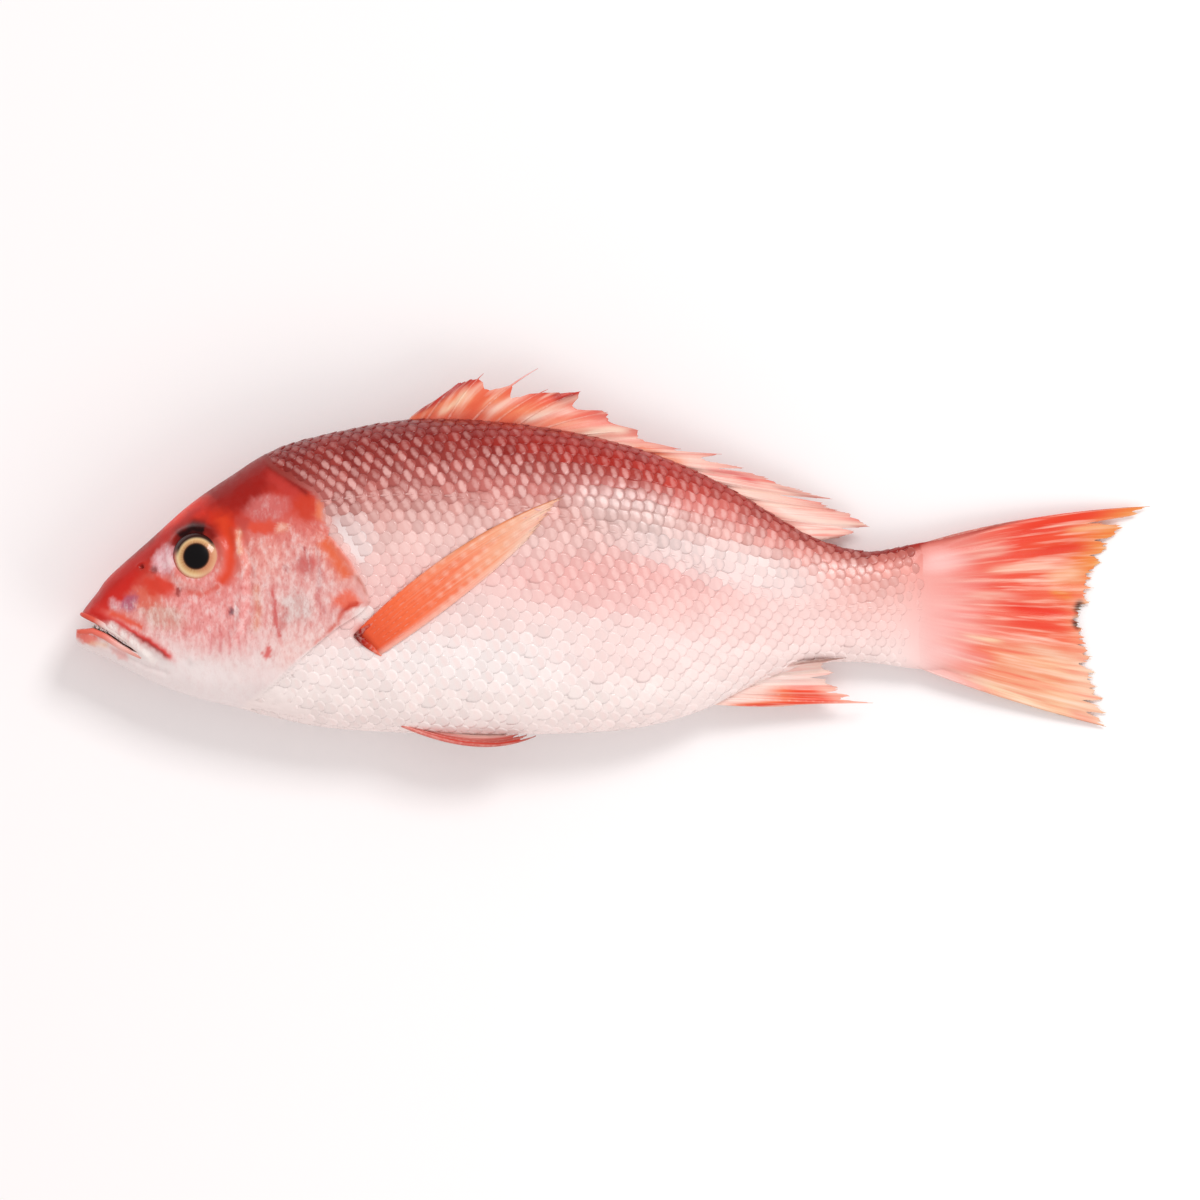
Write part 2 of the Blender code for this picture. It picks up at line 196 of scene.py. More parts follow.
def perMetre(size):  # a texture's scale for features of so many millimetres
    return 1 / (size * mm)


richNoise = {"Detail": 3.0, "Roughness": 0.6}


def bareSkinMaterial():
    # Wet scaleless skin over bone: softly blotched at 4 mm and flecked at 1.5 mm, with pores and a
    # thin wet film.
    material, tree, shader = newMaterial("wetBareSkin", (0.36, 1.4, 0.3, 0.15, 0.12))
    where = addNode(tree, "ShaderNodeTexCoord").outputs["Object"]
    tint = addNode(tree, "ShaderNodeAttribute", attribute_name="tint")
    mottle = addNode(tree, "ShaderNodeAttribute", attribute_name="mottle").outputs["Fac"]
    taller = {"Vector": where, "Scale": (1.5, 0.75, 1.0)}
    upright = addNode(tree, "ShaderNodeMapping", taller)
    coarse = addNode(tree, "ShaderNodeTexNoise", {"Vector": upright, "Scale": perMetre(3.4), **richNoise})
    fine = addNode(tree, "ShaderNodeTexNoise", {"Vector": upright, "Scale": perMetre(1.4), **richNoise})
    marks = (
        (coarse, 0.54, 0.28, 0.55, "#d3443c"),
        (coarse, 0.50, 0.72, 0.60, "#f6e3e0"),
        (fine, 0.52, 0.74, 0.40, "#b23c3c"),
    )
    base = marked(tree, tint, mottle, marks)
    wet = addNode(tree, "ShaderNodeTexNoise", {"Vector": where, "Scale": perMetre(2.5)})
    film = {"Value": wet, "From Min": 0.3, "From Max": 0.7, "To Min": 0.28, "To Max": 0.48}
    rough = addNode(tree, "ShaderNodeMapRange", film)
    pores = addNode(tree, "ShaderNodeTexNoise", {"Vector": where, "Scale": perMetre(0.8), **richNoise})
    cells = {"Vector": upright, "Scale": perMetre(4.0)}
    small = addNode(tree, "ShaderNodeTexVoronoi", cells, feature="SMOOTH_F1")
    domed = addNode(tree, "ShaderNodeBump", {"Height": small, "Distance": -0.35 * mm, "Strength": mottle})
    pitted = {"Height": pores, "Distance": 0.14 * mm, "Strength": 0.5, "Normal": domed}
    bumps = addNode(tree, "ShaderNodeBump", pitted)
    connect(tree, shader, {"Base Color": base, "Roughness": rough, "Normal": bumps})
    return material


def scaleMaterial():
    # Scales are thin bony plates in wet skin: an upright pale spot on each, partly the scale's own pale
    # middle and partly a painted highlight, in red colouring that darkens towards the back, with painted
    # shade of the hind edges on the mid flank. Fine growth lines roughen them, which the grain stands for.
    material, tree, shader = newMaterial("wetScales", (0.32, 1.45, 0.35, 0.2, 0.1))
    where = addNode(tree, "ShaderNodeTexCoord").outputs["Object"]
    tint = addNode(tree, "ShaderNodeAttribute", attribute_name="tint")
    dark, spotAndSheen, along, across = (
        addNode(tree, "ShaderNodeAttribute", attribute_name=key).outputs["Fac"]
        for key in ("dark", "spotAndSheen", "alongScale", "acrossScale")
    )
    lean = addNode(tree, "ShaderNodeMath", {0: across, 1: 0.38, 2: along}, operation="MULTIPLY_ADD")
    u = addNode(tree, "ShaderNodeMath", {0: lean, 1: 4.3, 2: -0.95}, operation="MULTIPLY_ADD")
    w = addNode(tree, "ShaderNodeMath", {0: across, 1: 2.2}, operation="MULTIPLY")
    square = addNode(tree, "ShaderNodeMath", {0: u, 1: u}, operation="MULTIPLY")
    away = addNode(tree, "ShaderNodeMath", {0: w, 1: w, 2: square}, operation="MULTIPLY_ADD")
    grain = addNode(tree, "ShaderNodeTexNoise", {"Vector": where, "Scale": perMetre(1.6), **richNoise})
    away = addNode(tree, "ShaderNodeMath", {0: grain, 1: 3.0, 2: away}, operation="MULTIPLY_ADD")
    away = addNode(tree, "ShaderNodeMath", {0: spotAndSheen, 1: -1.1, 2: away}, operation="MULTIPLY_ADD")
    limits = {"Value": away, "From Min": 2.9, "From Max": 0.5}
    spot = addNode(tree, "ShaderNodeMapRange", limits, interpolation_type="SMOOTHSTEP")
    spot = addNode(tree, "ShaderNodeMath", {0: spot, 1: spotAndSheen}, operation="MULTIPLY")
    deep = addNode(tree, "ShaderNodeMath", {0: dark, 1: 0.8}, operation="MULTIPLY")
    ground = addNode(tree, "ShaderNodeMix", {0: deep, 6: tint, 7: rgba("#780f0c")}, data_type="RGBA")
    pale = addNode(tree, "ShaderNodeMix", {0: 0.46, 6: tint, 7: rgba("#ffdcd6")}, data_type="RGBA")
    base = addNode(tree, "ShaderNodeMix", {0: spot, 6: ground, 7: pale}, data_type="RGBA")
    wet = addNode(tree, "ShaderNodeTexNoise", {"Vector": where, "Scale": perMetre(3.0)})
    film = {"Value": wet, "From Min": 0.3, "From Max": 0.7, "To Min": 0.22, "To Max": 0.42}
    rough = addNode(tree, "ShaderNodeMapRange", film)
    bumps = addNode(tree, "ShaderNodeBump", {"Height": grain, "Distance": 0.12 * mm, "Strength": 0.5})
    connect(tree, shader, {"Base Color": base, "Roughness": rough, "Normal": bumps})
    return material


def finSkinMaterial():
    # Fin skin: a wet film, streaked along its rays in bands of about a quarter of the gap between them.
    material, tree, shader = newMaterial("wetFinSkin", (0.4, 1.4, 0.3, 0.12, 0.15))
    tint = addNode(tree, "ShaderNodeAttribute", attribute_name="tint")
    vivid = addNode(tree, "ShaderNodeAttribute", attribute_name="vivid").outputs["Fac"]
    # finPlace holds the ray's number and the millimetres out
    place = addNode(tree, "ShaderNodeAttribute", attribute_name="finPlace").outputs["Vector"]
    banded = addNode(tree, "ShaderNodeMapping", {"Vector": place, "Scale": (2.4, 0.03, 1.0)})
    stretched = {"Vector": banded, "Scale": 1.0, "Detail": 3.0, "Roughness": 0.5}
    streak = addNode(tree, "ShaderNodeTexNoise", stretched)
    marks = ((streak, 0.50, 0.72, 0.9, "#fbdcc8"), (streak, 0.50, 0.28, 0.8, "#ea3a22"))
    base = marked(tree, tint, vivid, marks)
    where = addNode(tree, "ShaderNodeTexCoord").outputs["Object"]
    pores = addNode(tree, "ShaderNodeTexNoise", {"Vector": where, "Scale": perMetre(0.7)})
    both = addNode(tree, "ShaderNodeMath", {0: streak, 1: 1.5, 2: pores}, operation="MULTIPLY_ADD")
    bumps = addNode(tree, "ShaderNodeBump", {"Height": both, "Distance": 0.2 * mm, "Strength": 0.5})
    connect(tree, shader, {"Base Color": base, "Normal": bumps})
    return material


def rayMaterial():
    # Fin rays: jointed bone under a film of skin, flecked where the joints are.
    material, tree, shader = newMaterial("finRayBone", (0.38, 1.45, 0.3, 0.15, 0.12))
    tint = addNode(tree, "ShaderNodeAttribute", attribute_name="tint")
    where = addNode(tree, "ShaderNodeTexCoord").outputs["Object"]
    joints = addNode(tree, "ShaderNodeTexNoise", {"Vector": where, "Scale": perMetre(1.6), "Detail": 2.0})
    base = marked(tree, tint, 1.0, ((joints, 0.45, 0.65, 0.16, "#fff0e4"),))
    bumps = addNode(tree, "ShaderNodeBump", {"Height": joints, "Distance": 0.08 * mm, "Strength": 0.4})
    connect(tree, shader, {"Base Color": base, "Normal": bumps})
    return material


def eyeMaterial():
    # A clear wet cornea over a metallic-looking iris: the gloss is the coat's, and the fibres are in
    # the iris.
    material, tree, shader = newMaterial("clearCornea", (0.3, 1.4, 0.2, 0.6, 0.03))
    tint = addNode(tree, "ShaderNodeAttribute", attribute_name="tint")
    where = addNode(tree, "ShaderNodeTexCoord").outputs["Object"]
    fibres = addNode(tree, "ShaderNodeTexNoise", {"Vector": where, "Scale": perMetre(0.9), "Detail": 2.0})
    bumps = addNode(tree, "ShaderNodeBump", {"Height": fibres, "Distance": 0.08 * mm, "Strength": 0.4})
    connect(tree, shader, {"Base Color": tint, "Normal": bumps})
    return material


def fleshMaterial(name, hexCode, speck):
    # Wet flesh inside the mouth, coloured near-black there as painted shade, and the teeth's enamel: smooth,
    # glossy and uneven in colour.
    material, tree, shader = newMaterial(name, (0.3, 1.4, 0.3, 0.2, 0.1))
    where = addNode(tree, "ShaderNodeTexCoord").outputs["Object"]
    uneven = addNode(tree, "ShaderNodeTexNoise", {"Vector": where, "Scale": perMetre(2.0), "Detail": 3.0})
    base = marked(tree, rgba(hexCode), 1.0, ((uneven, 0.35, 0.65, 1.0, speck),))
    bumps = addNode(tree, "ShaderNodeBump", {"Height": uneven, "Distance": 0.2 * mm, "Strength": 0.4})
    connect(tree, shader, {"Base Color": base, "Normal": bumps})
    return material


# The body's surface: a loft from the back rail to the belly rail, as in the solid.
bodyShape = {
    # back, belly, half width, back height, belly height
    "stations": (
        ((-0.3, -12.0), (-0.3, -12.0), 0.0, 25.0, 25.0),
        ((0.6, -8.0), (-0.2, -15.6), 4.6, 25.0, 25.0),
        ((3.0, -3.4), (1.6, -18.2), 7.6, 25.0, 25.0),
        ((8.0, 3.0), (8.0, -21.0), 10.0, 25.0, 25.0),
        ((13.0, 9.5), (15.5, -24.4), 12.0, 25.2, 25.0),
        ((28.5, 23.4), (30.0, -32.0), 15.8, 25.4, 24.8),
        ((44.0, 37.2), (45.0, -37.6), 18.8, 25.6, 24.6),
        ((60.0, 48.3), (62.0, -41.9), 21.2, 25.8, 24.4),
        ((76.0, 58.0), (80.0, -46.4), 23.0, 26.0, 24.2),
        ((98.5, 64.7), (100.0, -50.0), 24.6, 26.0, 23.8),
        ((134.0, 70.4), (134.0, -51.9), 26.0, 26.0, 23.6),
        ((180.0, 67.5), (178.0, -52.4), 25.2, 25.4, 23.2),
        ((220.0, 58.5), (216.0, -50.2), 21.8, 23.6, 21.4),
        ((251.0, 45.5), (243.0, -43.4), 17.2, 19.8, 18.2),
        ((282.0, 27.0), (268.0, -31.2), 12.2, 15.2, 14.2),
        ((297.0, 21.0), (288.0, -25.0), 9.6, 13.0, 12.4),
        ((312.0, 18.9), (308.0, -24.3), 7.6, 11.4, 11.0),
        ((333.0, 22.8), (331.0, -27.0), 4.6, 9.4, 9.2),
        ((344.0, 19.0), (343.0, -22.5), 1.8, 8.2, 8.2),
        ((354.0, -1.5), (354.0, -1.5), 0.0, 7.6, 7.6),
    ),
    "around": 256,
    "headStep": 0.62,
    "trunkStep": 2.6,
    "restHeight": 0.55,  # lowest skin above the table, which leaves room for the scales under it
    "sag": 1.6,  # the flank starts to flatten this far above that
}
stationRows = np.array([(*s[0], s[3], *s[1], s[4], s[2]) for s in bodyShape["stations"]])


def sectionAt(place):
    last = len(stationRows) - 1
    index = np.clip(np.floor(place).astype(int), 0, last - 1)
    before, start, end, after = (stationRows[np.clip(index + k, 0, last)] for k in (-1, 0, 1, 2))
    s = (place - index)[:, None]
    return (
        start * (2 * s**3 - 3 * s**2 + 1)
        + (end - before) / 2 * (s**3 - 2 * s**2 + s)
        + end * (3 * s**2 - 2 * s**3)
        + (after - start) / 2 * (s**3 - s**2)
    )


def pressed(heights):  # the lower flank flattens where it meets the table
    low, sag = bodyShape["restHeight"], bodyShape["sag"]
    over = heights - low - sag
    return np.where(over < 0, low + sag + sag * np.tanh(over / sag), heights)


def skinAt(place, angle):  # angle 0 is the back, a quarter turn the left flank, half a turn the belly
    place, angle = np.broadcast_arrays(np.asarray(place, float), np.asarray(angle, float))
    shape = place.shape
    place, angle = place.ravel(), angle.ravel()
    row = sectionAt(place)
    back, belly, halfWidth = row[:, :3], row[:, 3:6], np.maximum(row[:, 6], 0.0)
    upright, across = np.cos(angle), np.sin(angle)
    fullness = between(0.86, 1.04, (1 + upright) / 2)
    bulge = np.sign(across) * np.abs(across) ** fullness
    lean = upright + 0.10 * across**2 * np.minimum(1.0, halfWidth / 20.0)
    points = (back + belly) / 2 + (back - belly) / 2 * lean[:, None]
    points[:, 2] += halfWidth * bulge
    points[:, 2] = pressed(points[:, 2])
    return points.reshape(*shape, 3)


def skinNormal(place, angle):
    along = skinAt(place + 0.02, angle) - skinAt(place - 0.02, angle)
    around = skinAt(place, angle + 0.02) - skinAt(place, angle - 0.02)
    normal = np.cross(along, around)
    length = np.linalg.norm(normal, axis=-1, keepdims=True)
    return normal / np.maximum(length, 1e-9)


def placeAt(x, angle, guess=9.0):  # where along the body a side-view distance is reached
    place = np.full(np.broadcast(x, angle).shape, float(guess))
    for _ in range(12):
        here = skinAt(place, angle)[..., 0]
        slope = (skinAt(place + 0.03, angle)[..., 0] - here) / 0.03
        step = (x - here) / np.maximum(slope, 2.0)
        place = np.clip(place + np.clip(step, -1.5, 1.5), 0.02, len(stationRows) - 1.02)
    return place


# The free edge of the gill cover, and the lines that the head's forms follow.
headShape = {
    "gillHeights": (-40.0, -33.0, -22.0, -17.0, -10.5, -5.0, -1.0, 5.6, 14.6, 24.0, 31.0),
    "gillBehind": (66.0, 76.0, 88.0, 94.0, 102.0, 111.0, 115.0, 112.8, 107.8, 100.4, 88.0),
    "gillStep": 2.0,
    "gillRun": 26.0,
    "gillMiddle": 101.0,
    "gillReach": 26.0,
    "gillBend": 14.0,
    "eye": (47.6, 16.8),
    "orbitRadius": 10.6,
    "preopercle": ((62.0, 27.0), (65.5, 12.0), (65.0, -4.0), (63.0, -13.0), (57.0, -19.5), (46.0, -23.5)),
    "maxilla": ((5.0, -3.0), (10.9, -5.9), (18.3, -9.6), (25.4, -14.6), (32.4, -19.0), (37.5, -23.6)),
    "lipStrip": ((11.5, -9.6), (17.0, -12.6), (23.0, -17.4), (28.5, -22.4)),
    "jawGroove": ((10.0, -17.0), (18.0, -21.2), (28.0, -26.4), (36.0, -28.6)),
    "napeEdge": ((72.0, 56.5), (76.0, 51.0), (84.0, 46.4), (91.7, 42.0), (95.2, 38.0), (93.0, 33.0)),
    # the forms above with their heights and widths
    "folds": (
        ("maxilla", 1.15, 2.1), ("lipStrip", 0.9, 1.4), ("jawGroove", -0.8, 1.1), ("napeEdge", 0.35, 1.5),
    ),
    "cheekHeights": (-20.0, -13.0, -4.0, 12.0, 27.0),
    "cheekGroove": (60.0, 66.0, 68.2, 68.7, 65.0),
    "nostrils": ((25.7, 12.9, 0.9), (30.4, 11.7, 1.3)),
    # where scales begin above the gill cover
    "napeHeights": (24.0, 30.0, 38.0, 42.0, 46.4, 51.0, 56.5, 60.0),
    "napeBehind": (100.4, 97.6, 95.6, 91.7, 84.0, 76.0, 72.0, 70.0),
}


def gillBehind(y):
    return np.interp(y, headShape["gillHeights"], headShape["gillBehind"])


def lineDistance(x, y, line):  # distance to a polyline, and the share of the way along its nearest place
    line = np.array(line, float)
    lengths = np.linalg.norm(np.diff(line, axis=0), axis=1)
    total, done = lengths.sum(), 0.0
    best, share = np.full(np.shape(x), 1e9), np.zeros(np.shape(x))
    for start, end, length in zip(line[:-1], line[1:], lengths):
        way = (end - start) / length
        along = np.clip((x - start[0]) * way[0] + (y - start[1]) * way[1], 0, length)
        away = np.hypot(x - start[0] - way[0] * along, y - start[1] - way[1] * along)
        nearer = away < best
        best = np.where(nearer, away, best)
        share = np.where(nearer, (done + along) / total, share)
        done += length
    return best, share


def hump(away, width):  # 1 where away is nothing, falling off smoothly on both sides
    return np.exp(-((away / width) ** 2))


def stroke(x, y, line, width, fade=0.08):  # a soft-edged stroke that fades over a share of each end
    away, share = lineDistance(x, y, line)
    return hump(away, width) * smooth(0.0, fade, share + 0.03) * smooth(0.0, fade, 1.03 - share)


def blot(x, y, centre, radii, turn=0.0, edge=0.35):  # a soft ellipse
    c, s = math.cos(math.radians(turn)), math.sin(math.radians(turn))
    dx, dy = x - centre[0], y - centre[1]
    away = np.hypot((dx * c + dy * s) / radii[0], (-dx * s + dy * c) / radii[1])
    return 1 - smooth(1 - edge, 1 + edge, away)


def wobble(x, y, size, seed=0.0):  # smooth unevenness between -1 and 1
    x, y = np.asarray(x, float) / size, np.asarray(y, float) / size
    a = np.sin(2.1 * x + 1.3 * np.sin(1.7 * y + seed) + seed)
    b = np.sin(1.9 * y - 1.1 * np.sin(2.3 * x - 2 * seed) + 3.1 * seed)
    return (a + b + np.sin(1.3 * (x + y) + 5 * seed) * 0.7) / 2.7


def headRelief(x, y):  # height of the head's forms over the smooth loft
    ahead = gillBehind(y) - x
    ends = np.clip(np.minimum((y + 40.0) / 8.0, (31.0 - y) / 9.0), 0, 1)
    drop = between(0.25, 1.6, 1 - smooth(-26, -18, y))  # the step is softer under the throat
    cover = hump(np.maximum(ahead, 0), headShape["gillRun"]) * smooth(-drop, -0.05, ahead)
    rise = headShape["gillStep"] * ends * cover * (1 + 0.16 * hump(ahead - 1.2, 1.2))
    away = np.hypot(x - headShape["eye"][0], y - headShape["eye"][1])
    brow = 0.5 + 0.5 * (y - headShape["eye"][1]) / np.maximum(away, 1.0)
    rise += hump(away - headShape["orbitRadius"], 1.9) * (0.7 + 1.1 * brow * brow)
    rise -= 0.5 * hump(away - 15.0, 2.0) * (1 - brow)
    rise += 0.75 * hump(lineDistance(x, y, headShape["preopercle"])[0], 1.5)
    behind = x - np.interp(y, headShape["cheekHeights"], headShape["cheekGroove"])
    rise -= 0.55 * hump(behind, 1.3) * smooth(-22, -14, y) * (1 - smooth(20, 27, y))
    for key, height, width in headShape["folds"]:
        rise += height * stroke(x, y, headShape[key], width)
    for nx, ny, radius in headShape["nostrils"]:
        hole = np.hypot(x - nx, y - ny)
        rise += 0.45 * hump(hole - radius * 1.5, radius * 0.5) - 1.6 * hump(hole, radius)
    onHead = 1 - smooth(96, 112, x)
    rise += onHead * (0.16 * wobble(x, y, 5.0, 0.7) + 0.08 * wobble(x, y, 1.9, 2.1))
    for k in range(4):  # the gill membrane's rays under the throat
        ray = ((48 + 7 * k, -37.5 - 1.2 * k), (66 + 6 * k, -39 - 1.5 * k), (82 + 3 * k, -34 - 3.0 * k))
        rise += 0.3 * stroke(x, y, ray, 0.9)
    return rise


def bellyToBack(x, y):  # 0 at the belly line, 1 at the back line
    back = np.interp(x, stationRows[:, 0], stationRows[:, 1])
    belly = np.interp(x, stationRows[:, 3], stationRows[:, 4])
    return np.clip((y - belly) / np.maximum(back - belly, 1.0), 0, 1)


# Colours: a dab is its colour, strength, middle, radii and turn, and a stroke its colour, strength,
# line and width.
bodyColours = {
    "flank": (
        (0.00, "#f6e4e0"), (0.10, "#f9ebe7"), (0.25, "#faeae7"), (0.42, "#f4d6d2"), (0.52, "#f0c3be"),
        (0.62, "#efc6c0"), (0.72, "#e6aaa2"), (0.80, "#d98078"), (0.88, "#c85a50"), (0.95, "#b53e34"),
        (1.00, "#a02a22"),
    ),
    "peduncle": (
        (0.00, "#f4e0dc"), (0.30, "#f5cfca"), (0.55, "#f0bdb6"), (0.80, "#eaa298"), (0.94, "#d8766a"),
        (1.00, "#96302a"),
    ),
    "head": (
        (0.00, "#efe0de"), (0.20, "#f3dedb"), (0.42, "#efb4ae"), (0.60, "#ec988e"), (0.78, "#cf3f31"),
        (0.92, "#b0221a"), (1.00, "#8e1a13"),
    ),
}
headDabs = (
    ("#f5e8e6", 0.9, (44, -31), (27, 8.0), -16),
    ("#f0a19e", 0.8, (56, -4), (22, 15), 0),
    ("#ecbcb7", 0.8, (91, 0), (21, 22), 0),
    ("#f3b3a9", 0.6, (73, 16), (9, 8), 0),
    ("#dcb4a6", 0.8, (34, -6), (9, 4.6), -20),
    ("#dac9c4", 0.7, (86, -3), (6, 6), 0),
    ("#f7d6d0", 0.7, (93, -20), (15, 8), 10),
    ("#d1231a", 0.95, (15, 4), (14, 6.5), 48),
    ("#f23a22", 0.95, (42, 32), (11, 4.8), 42),
    ("#d62c17", 0.9, (57, 31), (6.5, 4.8), 0),
    ("#a0170f", 0.9, (66, 42), (12, 6.5), 38),
    ("#d47470", 0.85, (75, 36), (8.2, 4.6), 8),
    ("#c53a33", 0.7, (82, 45), (9, 3.6), -35),
    ("#cf3c24", 0.85, (90.6, 36), (4.8, 5.8), 10),
    ("#f18b62", 0.75, (95.6, 35), (1.8, 4.6), 5),
    ("#e04e37", 0.9, (72.5, 28), (5.8, 2.4), -10),
    ("#bd4a44", 0.6, (64.5, 29), (3, 3.4), 0),
    ("#f5bca2", 0.6, (80.5, 28), (2.6, 2.2), 0),
    ("#c95c58", 0.75, (90, 14), (3.8, 4.4), 0),
    ("#a84347", 0.7, (89, 20), (1.3, 1.3), 0),
    ("#b04e4e", 0.6, (83, 11.7), (1.5, 1.5), 0),
    ("#c55f5b", 0.55, (69.5, 11), (1.6, 2.2), 0),
    ("#c0605c", 0.5, (81, -8), (1.6, 3.0), 0),
    ("#f1c5cb", 0.9, (35.2, 15.6), (4.4, 6.2), -22),
    ("#f4b6ae", 0.7, (42, 5.6), (9, 2.2), -14),
    ("#da3a26", 0.95, (32, 5.4), (7.4, 4.0), -8),
    ("#e0614a", 0.8, (27.5, 0.4), (7.0, 3.6), -12),
    ("#951812", 0.8, (41, 3.1), (1.5, 1.5), 0),
    ("#eab0b4", 0.7, (16.5, -2.2), (3.2, 2.6), -20),
    ("#a4587c", 0.7, (21.2, -1.0), (2.8, 3.8), -15),
    ("#ee6a58", 0.85, (4.0, -14.6), (5.0, 2.4), -6),
    ("#f0a39d", 0.6, (17.6, -20.6), (3.4, 2.2), -20),
    # a pore on the cheek: a pale dab as its painted highlight, and a dark dab as painted shade in its pit
    ("#fbf1ef", 0.7, (62.9, -4.3), (1.2, 3.6), 0),
    ("#664653", 0.9, (60.0, -4.3), (1.3, 1.5), 0),
    ("#de4a46", 0.8, (74.9, -20.3), (1.4, 2.2), 0),
    ("#ee6446", 0.9, (106.2, -0.4), (6.0, 3.6), -10),
    ("#f6e8e4", 0.85, (111.0, -5.0), (4.2, 2.4), -20),
)
headStrokes = (
    ("#bd2019", 0.9, ((3.5, -3.5), (28.5, 19.5), (50.0, 37.5)), 2.0),
    ("#e0401d", 0.95, ((56.2, 32.5), (60.9, 23.4), (60.6, 12.5), (56.6, 5.6)), 3.6),
    ("#dc5a4a", 0.8, ((56.4, 5.4), (50.0, 2.4), (43.5, 3.0)), 1.2),
    ("#f4c7a2", 0.6, ((63.6, 27.0), (64.6, 17.6)), 1.0),
    ("#90130d", 0.95, ((53.0, 39.6), (62.0, 47.2), (72.5, 54.0)), 3.6),
    ("#8f1711", 0.9, ((71.0, 54.6), (82.0, 47.6), (91.5, 41.0)), 1.3),
    # the next two strokes are painted shade: the orbit's upper rim casting its shadow over the eye
    ("#8a0f08", 0.95, ((38.6, 20.5), (40.8, 25.6), (46.4, 28.8), (52.4, 27.2), (54.6, 23.4)), 2.7),
    ("#240304", 1.0, ((40.6, 24.4), (45.4, 27.6), (50.8, 27.0)), 3.0),
    ("#e4573f", 0.95, ((13.0, -5.4), (19.0, -7.0), (26.5, -11.2)), 1.7),
    ("#d5231a", 0.95,
     ((3.6, -4.0), (9.5, -6.2), (18.3, -9.6), (25.4, -14.2), (32.4, -18.6), (38.2, -23.2)), 1.5),
    ("#8f1510", 0.7, ((22.0, -12.8), (30.0, -17.8), (36.0, -22.4)), 0.6),
    ("#f9eee9", 0.95, ((12.4, -9.8), (18.0, -13.0), (24.0, -18.0), (31.5, -24.6)), 1.7),
    ("#f7c6a8", 0.6, ((5.0, -16.6), (12.9, -17.8)), 1.0),
    ("#cc3a38", 0.8, ((77.2, 4.0), (78.0, -7.8), (80.0, -14.8)), 1.0),
    ("#df8082", 0.6, ((53.2, -12.0), (52.6, -21.0)), 0.6),
    ("#df8082", 0.6, ((56.8, -11.5), (56.4, -20.5)), 0.6),
    ("#dc7c7c", 0.6, ((60.2, -10.5), (60.2, -21.5)), 0.6),
    ("#df8082", 0.5, ((63.8, -12.0), (64.4, -20.0)), 0.6),
    ("#e2936a", 0.5, ((70.5, 6.0), (71.5, -4.0), (70.5, -12.0)), 1.6),
    ("#b5686c", 0.5, ((94.0, 24.0), (95.6, 12.0), (94.6, 0.0), (98.0, -6.0)), 0.7),
    ("#e8673f", 0.95, ((96.6, 23.6), (101.4, 16.6), (106.6, 8.4)), 4.2),
    ("#ba6450", 0.8, ((109.4, 9.8), (112.6, 5.8), (115.2, 0.0), (113.8, -3.6)), 0.8),
    ("#c5331d", 0.9, ((103.6, -5.4), (107.0, -1.9), (111.0, -1.4)), 0.9),
    ("#d65a46", 0.8, ((92.0, -19.5), (98.6, -13.6), (101.8, -8.8), (104.3, -5.0)), 1.2),
)
trunkDabs = (
    ("#f2aba5", 0.4, (122, -3), (26, 10), 20),
    ("#f0a39d", 0.45, (218, 6), (46, 13), -4),
    ("#faf0ee", 0.6, (252, 14), (40, 8), -14),
    ("#fbf4f2", 0.5, (160, -24), (45, 10), -2),
    ("#f4cdc8", 0.45, (236, -20), (48, 12), 4),
    ("#dccdc8", 0.5, (214, 34), (24, 8), -14),
    ("#f3c4be", 0.5, (255, -8), (34, 9), -6),
    ("#fbe4e1", 0.7, (109, 26), (8, 6), -50),
    ("#f5e4e2", 0.95, (107.4, 22.8), (12, 3.4), -54),
    ("#f3e6e3", 0.8, (112.6, -5.6), (4, 3), -20),
    ("#d8482c", 0.85, (114.5, -15.0), (6.4, 3.6), -40),
)


def dabbed(paint, x, y, dabs):
    for code, strength, middle, radii, turn in dabs:
        paint = tinted(paint, strength * blot(x, y, middle, radii, turn, 0.45), code)
    return paint


def stroked(paint, x, y, strokes, fade=0.08):
    for code, strength, line, width in strokes:
        paint = tinted(paint, strength * stroke(x, y, line, width, fade), code)
    return paint


def trunkTint(x, y):
    h = bellyToBack(x, y)
    flank = ramp(bodyColours["flank"], h - 0.07 * smooth(170, 270, x))
    paint = blended(flank, ramp(bodyColours["peduncle"], h), smooth(262, 305, x))
    paint = dabbed(paint, x, y, trunkDabs)
    paint = tinted(paint, 0.8 * smooth(190, 230, x) * smooth(0.94, 1.0, h), "#b0261a")  # the back's ridge
    redder = smooth(130, 190, x) * (1 - smooth(220, 262, x)) * smooth(0.86, 0.94, h)
    paint = tinted(paint, 0.8 * redder, "#d4301f")
    return tinted(paint, 0.85 * smooth(316, 350, x) * (1 - smooth(0.85, 0.97, h)), "#ee9088")


def headTint(x, y):
    paint = ramp(bodyColours["head"], bellyToBack(x, y))
    stray = [
        0.9 * wobble(x, y, 3.4, seed) + 0.7 * wobble(x, y, 1.5, seed + 1) + 0.4 * wobble(x, y, 0.7, seed + 2)
        for seed in (0.4, 2.6)
    ]
    paint = dabbed(paint, x + stray[0], y + stray[1], headDabs)
    paint = stroked(paint, x + 0.4 * stray[0], y + 0.4 * stray[1], headStrokes)
    # painted shade darkens the nostrils' pits
    for nx, ny, radius in headShape["nostrils"]:
        paint = tinted(paint, 0.6 * hump(np.hypot(x - nx, y - ny), radius), "#5a0d0b")
    return paint


